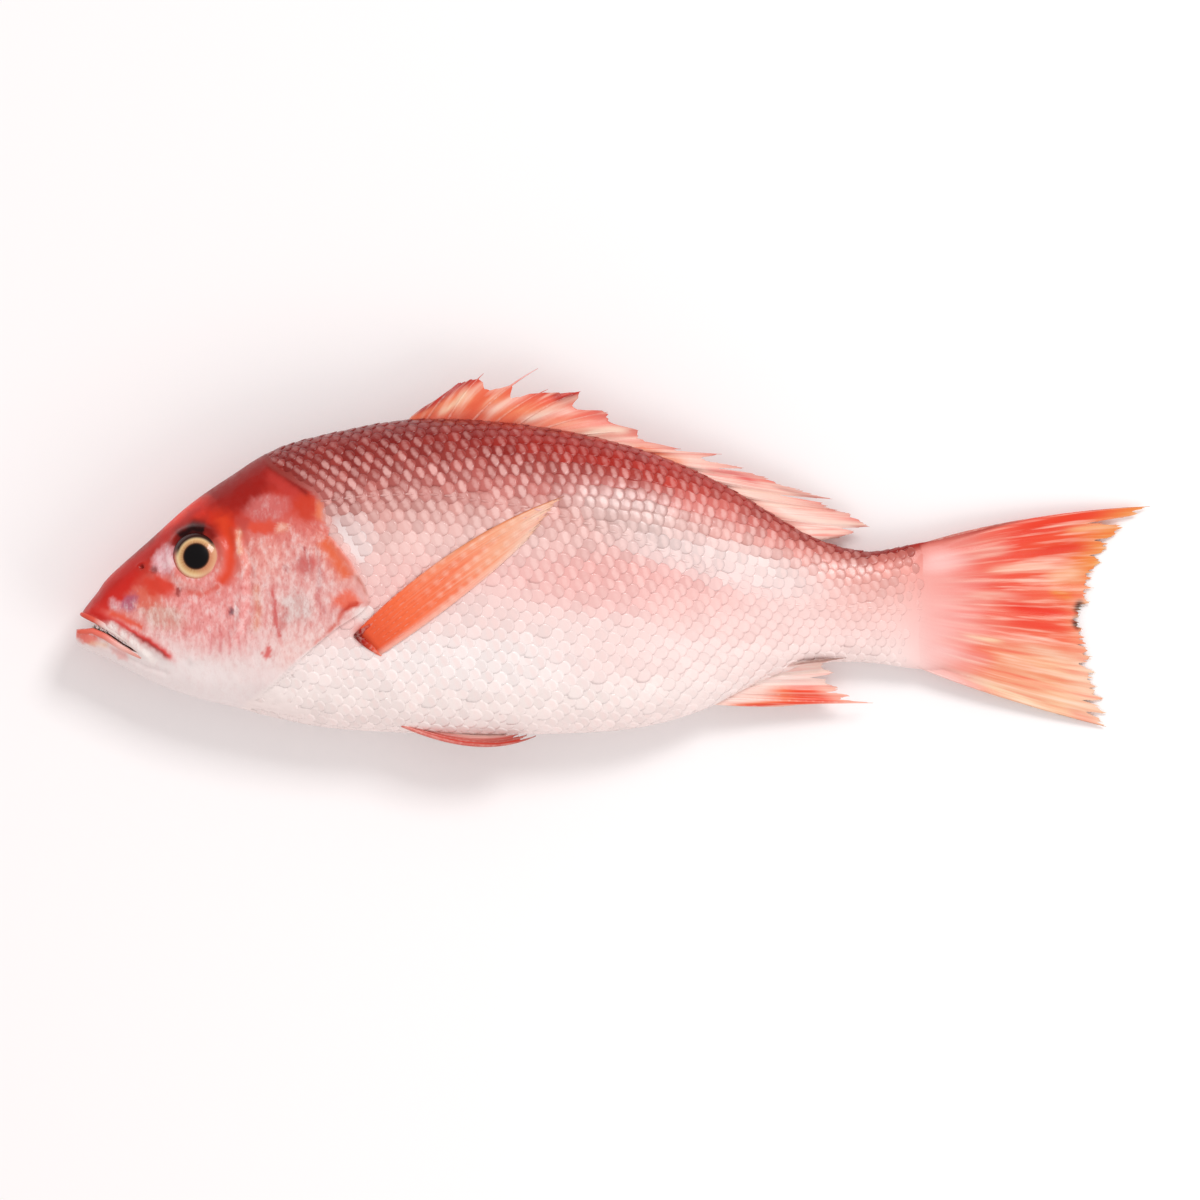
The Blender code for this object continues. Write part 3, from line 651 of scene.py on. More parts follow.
def pigmentAndEdgeShade(x, y):  # how dark the ground between the pale spots is: most on the back, least on the belly, and raised on a mid-flank patch as painted shade of the scales' hind edges
    h = bellyToBack(x, y) + 0.035 * wobble(x, y, 9.0, 1.3)
    low = np.interp(x, (90, 130, 172, 204, 243, 310), (0.60, 0.62, 0.71, 0.75, 0.895, 0.86))
    high = np.interp(x, (90, 130, 204, 243, 310), (0.92, 0.94, 1.01, 1.06, 1.03))
    # painted shade: the shadows of the scales' hind edges on the mid flank
    edgeShadows = 0.16 * blot(x, y, (214, 26), (36, 17), -14, 0.7)
    return np.maximum(np.clip((h - low) / (high - low), 0, 1), edgeShadows)


def scaleStart(y):  # where scales begin: the nape's edge above, the gill cover's below
    nape = np.interp(y, headShape["napeHeights"], headShape["napeBehind"])
    return np.where(y > headShape["napeHeights"][0], nape, gillBehind(y))


def skinPaint(x, y):
    trunk = tinted(trunkTint(x, y), 0.6 * pigmentAndEdgeShade(x, y) * (1 - smooth(318, 332, x)), "#6a1512")
    return blended(headTint(x, y), trunk, smooth(-1.2, 1.2, x - scaleStart(y)))


def mottling(x, y, tint):  # how blotched the bare skin is: the cheek most, red skin and the throat least
    share = np.interp(bellyToBack(x, y), (0.0, 0.16, 0.34, 0.6, 1.0), (0.08, 0.15, 0.9, 0.9, 0.7))
    share = share * (1 - 0.75 * smooth(94, 116, x)) * (1 - 0.85 * smooth(-1.5, 1.5, x - scaleStart(y)))
    return share * (1 - smooth(0.62, 0.9, 1 - tint[:, 1] / tint[:, 0]))


print("stage: body surface")


def bodyGrid(xs, around):
    angles = np.arange(around) * math.tau / around
    angles = angles + 0.175 * np.sin(2 * angles)  # closer together on the flanks
    nominal = np.array(xs, float)
    firstPlace = placeAt(nominal, np.full(len(xs), math.pi / 2))
    place = np.repeat(firstPlace[:, None], around, 1)
    angle = np.repeat(angles[None, :], len(xs), 0)
    target = nominal[:, None]
    plane = smooth(10, 30, target) * (1 - smooth(318, 336, target))
    for _ in range(6):
        here = skinAt(place, angle)
        edge = np.maximum(-headShape["gillBend"], gillBehind(here[..., 1]) - headShape["gillMiddle"])
        bend = hump(target - headShape["gillMiddle"], headShape["gillReach"])
        wanted = np.where(plane > 0, between(here[..., 0], target + edge * bend, plane), here[..., 0])
        slope = (skinAt(place + 0.03, angle)[..., 0] - here[..., 0]) / 0.03
        place = place + np.clip((wanted - here[..., 0]) / np.maximum(slope, 2.0), -0.6, 0.6)
        place = np.clip(place, 0.002, len(stationRows) - 1.002)
    return place, angle


def ringStations(headStep, trunkStep):
    nose = [0.05, 0.2, 0.5, 1.0, 1.6, 2.3]
    head = list(np.arange(3.0, 99.9, headStep))
    edge = [100.3, 100.7, 101.0, 101.3, 101.9, 102.8, 104.0, 105.6, 107.4]
    trunk = list(np.arange(109.6, 340.0, trunkStep))
    end = [341.0, 343.5, 346.0, 348.5, 350.5, 352.0, 353.0, 353.7]
    return nose + head + edge + trunk + end


def closedLoft(name, points, paints):
    rows, columns = points.shape[:2]
    tips = np.array([(-0.3, -12.0, 25.0), (354.0, -1.5, 7.6)])
    flat = np.vstack([points.reshape(-1, 3), tips])
    faces = gridFaces(rows, columns, wrap=True)
    first, last = rows * columns, rows * columns + 1
    faces += [[first, (c + 1) % columns, c] for c in range(columns)]
    base = (rows - 1) * columns
    faces += [[last, base + c, base + (c + 1) % columns] for c in range(columns)]
    return makeMesh(name, toWorld(flat), faces, paints)


def outwardNormal(place, angle):
    normal = skinNormal(place, angle)
    middle = (skinAt(place, 0 * angle) + skinAt(place, 0 * angle + math.pi)) / 2
    return normal * np.sign(np.sum(normal * (skinAt(place, angle) - middle), axis=-1, keepdims=True))


def smoothBody():  # the bare loft: what scales and fins are laid on
    place, angle = bodyGrid(ringStations(2.4, 3.6), 144)
    normals = np.vstack([outwardNormal(place, angle).reshape(-1, 3), [(-1, 0, 0), (1, 0, 0)]])
    body = closedLoft("bareLoft", skinAt(place, angle), {"bodyNormal": normals})
    faceOut(body)
    return body


loft = smoothBody()
loftFaces = [tuple(p.vertices) for p in loft.data.polygons]
loftTree = BVHTree.FromPolygons([v.co.copy() for v in loft.data.vertices], loftFaces)


def flankPoint(x, y, side=1):  # place and outward normal on the smooth body, in millimetres
    start = Vector(toWorld((x, y, 100.0 * side)))
    hit, normal, _, _ = loftTree.ray_cast(start, Vector((0, 0, -side)))
    if hit is None:
        hit, normal, _, _ = loftTree.find_nearest(Vector(toWorld((x, y, 24.0))))
    return fromWorld(hit), np.array(normal)


# Skin: head forms, colours and the open mouth
mouth = {
    "roof": ((-8, -3), (0, -5.6), (3.6, -7.0), (8.0, -9.0), (14.0, -12.2), (19.5, -16.2), (24.5, -20.6)),
    "floor": ((21.5, -19.6), (17.5, -17.2), (11.5, -13.6), (6.5, -11.2), (2.0, -11.2), (-8.0, -12.4)),
    "height": 25.0,
}


def mouthCutter(material):
    outline = np.array(mouth["roof"] + mouth["floor"])
    count = len(outline)
    layers = [np.column_stack([outline, np.full(count, mouth["height"] + z)]) for z in (-30.0, 30.0)]
    faces = gridFaces(2, count, wrap=True) + [list(range(count)), list(range(2 * count - 1, count - 1, -1))]
    cutter = makeMesh("mouthCutter", toWorld(np.vstack(layers)), faces)
    faceOut(cutter)
    cutter.data.materials.append(material)
    return cutter


def makeSkin(bareSkin, shadedMouthLining):
    place, angle = bodyGrid(ringStations(bodyShape["headStep"], bodyShape["trunkStep"]), bodyShape["around"])
    base, normal = skinAt(place, angle), outwardNormal(place, angle)
    narrow = np.clip(base[..., 0] / 8.0, 0, 1)
    middle = (skinAt(place, 0 * angle) + skinAt(place, 0 * angle + math.pi))[..., 2] / 2
    base[..., 2] = between(base[..., 2], middle, 0.7 * smooth(328, 342, base[..., 0]))
    rise = headRelief(base[..., 0], base[..., 1]) * narrow
    rise *= smooth(1.0, 8.0, np.abs(base[..., 2] - mouth["height"]))
    points = base + normal * rise[..., None]
    points[..., 2] = np.maximum(points[..., 2], 0.3)
    skin = closedLoft("skin", points, {})
    faceOut(skin)
    skin.data.materials.append(bareSkin)
    cutter = mouthCutter(shadedMouthLining)
    cut = skin.modifiers.new("mouth", "BOOLEAN")
    cut.operation, cut.solver, cut.object = "DIFFERENCE", "EXACT", cutter
    cut.material_mode = "TRANSFER"
    bake(skin, "skin")
    bpy.data.objects.remove(cutter)
    at = fromWorld(vertexArray(skin.data))
    x, y = at[:, 0], at[:, 1]
    tint = skinPaint(x, y)
    addAttribute(skin.data, "tint", tint)
    addAttribute(skin.data, "mottle", mottling(x, y, tint))
    return dress(skin, None)


# Tubes along lines, for rays, lips and folds
def tubeTree():
    tree = bpy.data.node_groups.new("tubesAlongLines", "GeometryNodeTree")
    sockets = (("Lines", "NodeSocketGeometry"), ("Sides", "NodeSocketInt"), ("Finish", "NodeSocketMaterial"))
    for label, kind in sockets:
        tree.interface.new_socket(label, in_out="INPUT", socket_type=kind)
    tree.interface.new_socket("Tubes", in_out="OUTPUT", socket_type="NodeSocketGeometry")
    given = tree.nodes.new("NodeGroupInput").outputs
    lines = addNode(tree, "GeometryNodeMeshToCurve", {"Mesh": given["Lines"]})
    width = addNode(tree, "GeometryNodeInputNamedAttribute", {"Name": "width"}, data_type="FLOAT")
    ring = addNode(tree, "GeometryNodeCurvePrimitiveCircle", {"Resolution": given["Sides"], "Radius": 1.0})
    drawn = {"Curve": lines, "Profile Curve": ring, "Scale": width, "Fill Caps": True}
    tubes = addNode(tree, "GeometryNodeCurveToMesh", drawn)
    solid = addNode(tree, "GeometryNodeRealizeInstances", {"Geometry": tubes})
    finish = addNode(tree, "GeometryNodeSetMaterial", {"Geometry": solid, "Material": given["Finish"]})
    addNode(tree, "NodeGroupOutput", {0: finish})
    return tree


def addTree(obj, tree, values):  # modifier inputs are set by their identifiers
    modifier = obj.modifiers.new(tree.name, "NODES")
    modifier.node_group = tree
    for item in tree.interface.items_tree:
        if item.item_type == "SOCKET" and item.in_out == "INPUT" and item.name in values:
            modifier[item.identifier] = values[item.name]


def makeTubes(name, lines, material, sides=6):  # each line has points, radii and tints
    counts = [len(points) for points, _, _ in lines]
    starts = np.cumsum([0] + counts[:-1])
    edges = [(start + i, start + i + 1) for start, count in zip(starts, counts) for i in range(count - 1)]
    paints = {
        "width": np.concatenate([np.broadcast_to(radii, len(points)) for points, radii, _ in lines]) * mm,
        "tint": np.vstack([np.broadcast_to(tint, (len(points), 3)) for points, _, tint in lines]),
    }
    tubes = makeMesh(name, toWorld(np.vstack([points for points, _, _ in lines])), [], paints, edges)
    addTree(tubes, tubeGroup, {"Sides": sides, "Finish": material})
    bake(tubes, name)
    faceOut(tubes)
    return dress(tubes, None)


# Plates laid on the body, for scales, teeth and the lateral line's canals
def plateTree():
    tree = bpy.data.node_groups.new("platesOnSurface", "GeometryNodeTree")
    sockets = (
        ("Points", "NodeSocketGeometry"), ("Plate", "NodeSocketObject"), ("Surface", "NodeSocketObject"),
        ("Uneven", "NodeSocketFloat"), ("Follow", "NodeSocketFloat"), ("Seed", "NodeSocketInt"),
        ("Finish", "NodeSocketMaterial"),
    )
    for label, kind in sockets:
        tree.interface.new_socket(label, in_out="INPUT", socket_type=kind)
    tree.interface.new_socket("Plates", in_out="OUTPUT", socket_type="NodeSocketGeometry")
    given = tree.nodes.new("NodeGroupInput").outputs
    read = {}
    for key in ("outward", "backward", "bodyNormal", "size", "lift", "relief", "proud"):
        kind = "FLOAT_VECTOR" if key in ("outward", "backward", "bodyNormal") else "FLOAT"
        named = addNode(tree, "GeometryNodeInputNamedAttribute", {"Name": key}, data_type=kind)
        read[key] = named.outputs["Attribute"]
    plate = addNode(tree, "GeometryNodeObjectInfo", {"Object": given["Plate"]}).outputs["Geometry"]
    axes = {"Primary Axis": read["outward"], "Secondary Axis": read["backward"]}
    turn = addNode(tree, "FunctionNodeAxesToRotation", axes, primary_axis="Z", secondary_axis="X")
    least = addNode(tree, "ShaderNodeMath", {0: 1.0, 1: given["Uneven"]}, operation="SUBTRACT")
    most = addNode(tree, "ShaderNodeMath", {0: 1.0, 1: given["Uneven"]}, operation="ADD")
    limits = {2: least, 3: most, 8: given["Seed"]}
    chance = addNode(tree, "FunctionNodeRandomValue", limits, data_type="FLOAT")
    size = addNode(tree, "ShaderNodeMath", {0: read["size"], 1: chance}, operation="MULTIPLY")
    placed = {"Points": given["Points"], "Instance": plate, "Rotation": turn, "Scale": size}
    copies = addNode(tree, "GeometryNodeInstanceOnPoints", placed)
    solid = addNode(tree, "GeometryNodeRealizeInstances", {0: copies})
    body = addNode(tree, "GeometryNodeObjectInfo", {"Object": given["Surface"]}).outputs["Geometry"]
    here = addNode(tree, "GeometryNodeInputPosition")
    sampled = []
    for value in (here, read["bodyNormal"]):
        asked = {"Mesh": body, "Value": value, "Sample Position": here}
        sampled.append(addNode(tree, "GeometryNodeSampleNearestSurface", asked, data_type="FLOAT_VECTOR"))
    spot, normal = sampled
    heights = {0: read["lift"], 1: read["relief"], 2: read["proud"]}
    lift = addNode(tree, "ShaderNodeMath", heights, operation="MULTIPLY_ADD")
    raised = addNode(tree, "ShaderNodeVectorMath", {0: normal, "Scale": lift}, operation="SCALE")
    laid = addNode(tree, "ShaderNodeVectorMath", {0: spot, 1: raised}, operation="ADD")
    shown = addNode(tree, "ShaderNodeMix", {0: given["Follow"], 4: here, 5: laid}, data_type="VECTOR")
    moved = addNode(tree, "GeometryNodeSetPosition", {"Geometry": solid, "Position": shown})
    finish = addNode(tree, "GeometryNodeSetMaterial", {"Geometry": moved, "Material": given["Finish"]})
    addNode(tree, "NodeGroupOutput", {0: finish})
    return tree


def scatter(name, points, paints, plate, material, **values):
    spots = makeMesh(name, toWorld(points), [], paints)
    given = {"Plate": plate, "Surface": loft, "Uneven": 0.03, "Follow": 1.0, "Seed": 1, "Finish": material}
    addTree(spots, plateGroup, {**given, **values})
    return dress(bake(spots, name), None)


tubeGroup, plateGroup = tubeTree(), plateTree()


# Scales in slanting rows above the lateral line and level rows below it
scaleShape = {
    # behind the jaw, and spacing
    "pitch": ((70, 3.9), (100, 4.6), (140, 5.0), (200, 4.9), (260, 4.4), (330, 3.7)),
    "slant": 15.0,  # degrees that the upper rows climb towards the tail
    "hindEdge": 0.66,  # these three in pitches from the middle of the scale
    "halfWidth": 0.62,
    "front": 0.95,
    "low": -0.18,  # mm above the skin at the front, and at the free edge
    "high": 0.42,
    "dome": 0.12,
    "last": 330.0,  # where they end on the tail root
    "seed": 11,
}
# millimetres behind the jaw, and degrees from the back
lateralLine = ((95, 62), (134, 64), (180, 68), (220, 75), (251, 84), (282, 92), (350, 96))
pectoralBase = (113.0, -14.5)


def makePlate():
    hind, half, front = (scaleShape[key] for key in ("hindEdge", "halfWidth", "front"))
    turns = np.radians(np.linspace(-90, 90, 9))
    rim = [(hind * math.cos(a), half * math.sin(a)) for a in turns]
    rim = np.array(rim + [(-0.5, half * 0.94), (-front, 0.0), (-0.5, -half * 0.94)])
    count = len(rim)
    flat = np.vstack([rim, rim, rim * 0.66 + (0.02, 0), [(0.04, 0.0)]])
    rise = between(scaleShape["low"], scaleShape["high"], (flat[:, 0] + front) / (front + hind))
    rise[:count] -= 0.36
    rise[2 * count : 3 * count] += 0.7 * scaleShape["dome"]
    rise[-1] += scaleShape["dome"]
    faces = gridFaces(3, count, wrap=True)
    faces += [[2 * count + c, 2 * count + (c + 1) % count, 3 * count] for c in range(count)]
    paints = {"lift": rise * mm, "alongScale": flat[:, 0], "acrossScale": flat[:, 1]}
    return makeMesh("scalePlate", np.column_stack([flat, 0 * rise]), faces, paints)


def latticeSpots():  # behind the jaw, arc above the lateral line and pitch, in millimetres
    xs = np.linspace(60.0, 352.0, 293)
    pitch = np.interp(xs, *zip(*scaleShape["pitch"]))
    steps = np.concatenate([[0.0], np.cumsum(np.diff(xs) / pitch[:-1])])
    row, column = (grid.ravel() for grid in np.meshgrid(np.arange(-50, 100), np.arange(-100, 160)))
    u, v = column + 0.5 * (row % 2), row * 0.866
    turn = math.radians(scaleShape["slant"])
    climbU, climbV = u * math.cos(turn) - v * math.sin(turn), u * math.sin(turn) + v * math.cos(turn)
    below, above = row <= 0, climbV > 0.42
    onLine = np.concatenate([row[below] == 0, np.zeros(above.sum(), bool)])
    u, v = np.concatenate([u[below], climbU[above]]), np.concatenate([v[below], climbV[above]])
    keep = (u >= 0) & (u <= steps[-1])
    x = np.interp(u[keep], steps, xs)
    size = np.interp(x, xs, pitch)
    return x, v[keep] * size, size, onLine[keep]


def girthTable(side):  # sections along the body, with the arc below the back at each angle
    angles = side * np.radians(np.linspace(1.0, 179.0, 120))
    stations = np.arange(60.0, 354.0, 2.0)
    place = placeAt(stations[:, None], angles[None, :])
    points = skinAt(place, np.broadcast_to(angles, place.shape))
    arcs = np.cumsum(np.linalg.norm(np.diff(points, axis=1), axis=2), axis=1)
    arcs = np.hstack([np.zeros((len(stations), 1)), arcs])
    degrees = np.interp(stations, *zip(*lateralLine))
    line = np.array([np.interp(d, np.degrees(np.abs(angles)), row) for d, row in zip(degrees, arcs)])
    return stations, angles, arcs, line


def angleAt(table, x, arc):
    stations, angles, arcs, line = table
    rows = np.clip(np.round((x - stations[0]) / 2).astype(int), 0, len(stations) - 1)
    found = [np.interp(line[r] - a, arcs[r], angles, left=np.nan, right=np.nan) for r, a in zip(rows, arc)]
    return np.array(found)


def bareSkinMask(x, y):  # 1 where the trunk has no scales
    root = x - scaleShape["last"] + 5.0 * np.abs((y + 2.0) / 24.0) ** 2 + 1.5 * wobble(x, y, 4.0)
    stripe = stroke(x, y, ((98.0, 32.0), (103.0, 28.4), (107.4, 22.8), (112.0, 15.6)), 3.4)
    return np.maximum(np.maximum(stripe, blot(x, y, pectoralBase, (7.5, 5.5), -35.0, 0.15)), root > 0)


def placeScales(side):
    rng = np.random.default_rng(scaleShape["seed"] + side)
    x, arc, pitch, onLine = latticeSpots()
    x = x + rng.normal(0, 0.045, len(x)) * pitch
    arc = arc + rng.normal(0, 0.035, len(x)) * pitch
    angle = angleAt(girthTable(side), x, arc)
    found = ~np.isnan(angle)
    x, arc, pitch, onLine, angle = (values[found] for values in (x, arc, pitch, onLine, angle))
    place = placeAt(x, angle)
    spots, outward = skinAt(place, angle), outwardNormal(place, angle)
    ahead = skinAt(placeAt(x + 1.5, angle), angle) - spots
    backward = ahead - outward * np.sum(ahead * outward, axis=1, keepdims=True)
    backward /= np.maximum(np.linalg.norm(backward, axis=1, keepdims=True), 1e-6)
    y = spots[:, 1]
    start, h = x - scaleStart(y), bellyToBack(x, y)
    keep = (start > -0.5 * pitch) & (bareSkinMask(x, y) < 0.5)
    chance = rng.uniform(0, 1, (3, len(x)))
    fade = (1 - smooth(300, 330, x)) * (0.7 + 0.3 * smooth(-1, 5, start))
    sunk = 0.3 * (1 - smooth(0, 5, start)) * (y > 24) + 0.25 * smooth(312, 330, x)
    # the pale spot on each scale: partly its own pale middle, partly a painted highlight
    spotAndSheen = np.interp(h, (0.0, 0.5, 0.86, 0.93, 1.0), (0.5, 0.8, 0.9, 0.5, 0.2))
    paints = {
        "outward": outward, "backward": backward, "size": pitch * np.where(onLine, 1.12, 1.0) * mm,
        "tint": trunkTint(x, y) * between(np.interp(h, (0.5, 0.8), (0.93, 0.8)), 1.04, chance[0])[:, None],
        "dark": pigmentAndEdgeShade(x, y) * between(0.7, 1.05, chance[1]),
        "spotAndSheen": spotAndSheen * fade * between(0.5, 1.2, chance[2]),
        "relief": np.interp(h, (0.2, 0.5, 0.75), (0.28, 0.45, 1.0)),
        "proud": (rng.normal(0, 0.03, len(x)) - sunk) * mm,
    }
    return spots[keep], {key: values[keep] for key, values in paints.items()}, onLine[keep]


def makeCanals(name, spots, paints, material):  # of the lateral line
    lean = np.linspace(0.05, math.pi - 0.05, 7)[:, None]
    turn = (np.arange(8) * math.tau / 8)[None, :]
    along, across = 0.34 * np.cos(lean) + 0 * turn, 0.10 * np.sin(lean) * np.cos(turn)
    flat = np.stack([along, across, 0 * along], -1).reshape(-1, 3)
    high = (0.3 + 0.42 * np.sin(lean) * np.sin(turn)).ravel() * mm
    faces = gridFaces(7, 8, wrap=True) + [list(range(8)), list(range(55, 47, -1))]
    plate = makeMesh("canalTube", flat, faces, {"lift": high})
    scatter(name, spots, paints, plate, material)
    bpy.data.objects.remove(plate)


# Eyes
eyeShape = {
    "radius": 10.2,
    "depth": 5.2,  # mm from the eye's middle plane to its front
    "sink": 2.6,
    "turn": 0.6,  # share of the skin's slope that the eye follows
    "segments": 144,
    "rings": 70,
    # millimetres from the pupil's middle, and colour
    "colours": (
        (0.0, "#0a0608"), (4.5, "#0d0709"), (4.95, "#31150e"), (5.3, "#a4683f"), (6.1, "#cf965f"),
        (6.9, "#ebc18a"), (7.6, "#f4d5a6"), (8.1, "#dca988"), (8.6, "#c8705c"), (9.2, "#ad4032"),
        (10.4, "#7c2018"),
    ),
}


def eyePaint(away, turn):  # turn is 0 towards the tail and a quarter towards the back
    paint = ramp(eyeShape["colours"], away)
    iris = smooth(5.0, 5.4, away) * (1 - smooth(8.3, 9.0, away))
    streak = 0.5 + 0.5 * np.sin(23 * turn + 2 * np.sin(7 * turn)) * np.sin(61 * turn + away)
    paint = tinted(paint, 0.3 * iris * streak, "#f7dcae")
    paint = tinted(paint, 0.6 * iris * smooth(0.1, 0.9, np.cos(turn + 0.3)), "#cc7a62")
    # painted shade: the brow's shadow as a near-black crescent over the top of the iris
    return tinted(paint, 0.98 * smooth(6.6, 7.8, away) * smooth(0.1, 0.6, np.cos(turn - 1.75)), "#2c0506")


def makeEye(name, side, material):
    spot, normal = flankPoint(*headShape["eye"], side)
    facing = Vector((0, 0, side)).lerp(Vector(normal), eyeShape["turn"]).normalized()
    right = (Vector((1, 0, 0)) - facing * facing.x).normalized()
    up = facing.cross(right) * side
    rings, segments = eyeShape["rings"], eyeShape["segments"]
    lean = np.linspace(0.02, math.pi - 0.02, rings)[:, None]
    turn = (np.arange(segments) * math.tau / segments)[None, :]
    away = eyeShape["radius"] * np.sin(lean) + 0 * turn
    high = eyeShape["depth"] * np.cos(lean) + 0 * turn
    centre = np.array(spot) - np.array(facing) * eyeShape["sink"]
    radial = np.cos(turn)[..., None] * np.array(right) + np.sin(turn)[..., None] * np.array(up)
    points = centre + away[..., None] * radial + high[..., None] * np.array(facing)
    tips = centre + np.array(facing) * np.array([[eyeShape["depth"]], [-eyeShape["depth"]]])
    flat = np.vstack([points.reshape(-1, 3), tips])
    faces = gridFaces(rings, segments, wrap=True)
    first, base = rings * segments, (rings - 1) * segments
    faces += [[first, (c + 1) % segments, c] for c in range(segments)]
    faces += [[first + 1, base + c, base + (c + 1) % segments] for c in range(segments)]
    paint = eyePaint(away, turn + 0 * away)
    paint = np.vstack([paint.reshape(-1, 3), paint[:1, 0], paint[-1:, 0]])
    eye = makeMesh(name, toWorld(flat), faces, {"tint": paint})
    faceOut(eye)
    return dress(eye, material)


# Fins: thin closed sheets, pleated between bony rays. A ray is its root, the point that its bow heads
# for, and its tip.
def railHeight(x, belly=False):
    column, height = (3, 5) if belly else (0, 2)
    return np.interp(x, stationRows[:, column], stationRows[:, height])


def bowed(rays, index, along):
    root, bow, tip = (rays[index, k] for k in range(3))
    s = np.asarray(along)[..., None]
    return root * (1 - s) ** 2 + bow * 2 * s * (1 - s) + tip * s**2


def draped(x, y):  # the scales' relief and pattern as it shows through thin skin
    ways, pitch = np.radians((75, 135, 195)), 4.3
    waves = (np.cos(math.tau / pitch * (x * math.cos(way) + y * math.sin(way))) for way in ways)
    return sum(waves) / len(ways)


# Fin colours from the root to the edge
finColours = {
    "dorsalFront": ((0, "#b23a30"), (0.15, "#e0604a"), (0.45, "#f28a62"), (0.75, "#e9634a"), (1, "#c93c34")),
    "dorsalRear": ((0, "#c04438"), (0.15, "#f0a292"), (0.4, "#fad8cc"), (0.75, "#f6c4b6"), (1, "#dc9084")),
    "analLobe": (
        (0.0, "#f6ded8"), (0.3, "#f8cdc0"), (0.46, "#f27a55"), (0.58, "#ec4a2c"), (0.72, "#ec5034"),
        (0.84, "#f5a894"), (1.0, "#f8bda9"),
    ),
    "analUpper": ((0.0, "#f6e4de"), (0.6, "#f6ddd4"), (1.0, "#ecc8bc")),
    "tailUpper": ((0, "#f08a7e"), (0.3, "#f27462"), (0.5, "#f3513a"), (0.75, "#f25c38"), (1, "#f2a04e")),
    "tailMiddle": ((0, "#f3a79e"), (0.35, "#f48878"), (0.6, "#f4735a"), (0.85, "#f4704e"), (1, "#f7a07a")),
    "tailLower": ((0, "#f3a99e"), (0.24, "#f3765a"), (0.45, "#f59c78"), (0.75, "#f8c39c"), (1, "#f8c8ac")),
    "pelvic": ((0.0, "#e2675a"), (0.4, "#d4493c"), (1.0, "#a93228")),
    "pectoral": (
        (0.0, "#b8240f"), (0.05, "#ea5a34"), (0.2, "#f76e42"), (0.45, "#f57e56"), (0.7, "#f3a682"),
        (0.9, "#f1c4ae"), (1.0, "#eab292"),
    ),
}


def onFlank(side, rootHigh, tipHigh):
    def lift(x, y, across, along):
        found = [flankPoint(px, py, side)[0][2] for px, py in zip(np.ravel(x), np.ravel(y))]
        rise = between(-1.6, between(rootHigh, tipHigh, smooth(0.3, 0.8, along)), np.minimum(1.0, 24 * along))
        return np.reshape(found, np.shape(x)) + side * (rise + 0.12 * draped(x, y))

    return lift


def dorsalRays():
    tips = (
        (139.0, 77.4), (149.0, 84.8), (158.6, 88.4), (179.8, 90.4), (183.6, 82.2), (196.4, 81.5),
        (207.0, 73.4), (219.0, 66.3), (235.6, 59.0), (251.6, 57.0), (260.6, 51.6), (269.6, 47.8),
        (281.0, 43.6), (295.8, 39.4), (293.0, 36.6), (297.4, 35.2), (302.6, 33.8), (310.2, 29.0),
        (304.0, 26.2), (297.6, 24.4),
    )
    rays = []
    for index, tip in enumerate(tips):
        x = between(126.0, 284.0, index / (len(tips) - 1))
        root = np.array((x, np.interp(x, stationRows[:, 0], stationRows[:, 1]) - 3.5))
        rays.append((root, root + (np.array(tip) - root) * (0.42, 0.62), tip))
    return np.array(rays)


def analRays():
    tips = (
        (276.0, -41.6), (311.0, -40.3), (303.0, -37.4), (298.0, -34.2), (293.0, -31.2), (296.0, -28.4),
        (291.0, -24.8), (300.0, -22.6),
    )
    rays = []
    for index, tip in enumerate(tips):
        root = between(np.array((243.0, -40.0)), np.array((273.0, -26.0)), index / (len(tips) - 1))
        rays.append((root, root + (np.array(tip) - root) * (0.5, 0.8), tip))
    return np.array(rays)


def tailRays(count=17):
    heights = (-49.8, -42.0, -34.0, -25.0, -15.6, -6.0, 0.0, 10.9, 17.2, 23.4, 29.6, 36.7)
    behind = (403.0, 403.0, 400.0, 398.0, 396.0, 393.0, 397.0, 399.5, 402.5, 406.5, 412.0, 420.1)
    rays = []
    for share in np.linspace(0, 1, count):
        root = between(np.array((329.0, 21.6)), np.array((328.0, -26.0)), share)
        y = between(36.7, -49.8, share)
        tip = np.array((np.interp(y, heights, behind), y))
        rays.append((root, root + (tip - root) * (0.5, between(0.88, 0.61, share)), tip))
    return np.array(rays)


def pectoralRays(count=9):
    rays = []
    for share in np.linspace(0, 1, count):
        root = between(np.array((108.0, -14.0)), np.array((116.4, -22.8)), share)
        tip = between(np.array((190.5, 40.4)), np.array((177.0, 24.6)), share**1.3)
        bow = between(np.array((147.8, 25.8)), np.array((157.0, 4.0)), share)
        rays.append((root, bow, tip))
    return np.array(rays)


def pelvicRays(count=5):
    rays = []
    for share in np.linspace(0, 1, count):
        root = np.array((122.0 + 5.0 * share, -46.5))
        tip = np.array((122.0 + 57.0 * (1 - 0.2 * share), -53.0 + 2.0 * share))
        rays.append((root, (between(root[0], tip[0], 0.6), between(-63.0, -53.0, share)), tip))
    return np.array(rays)


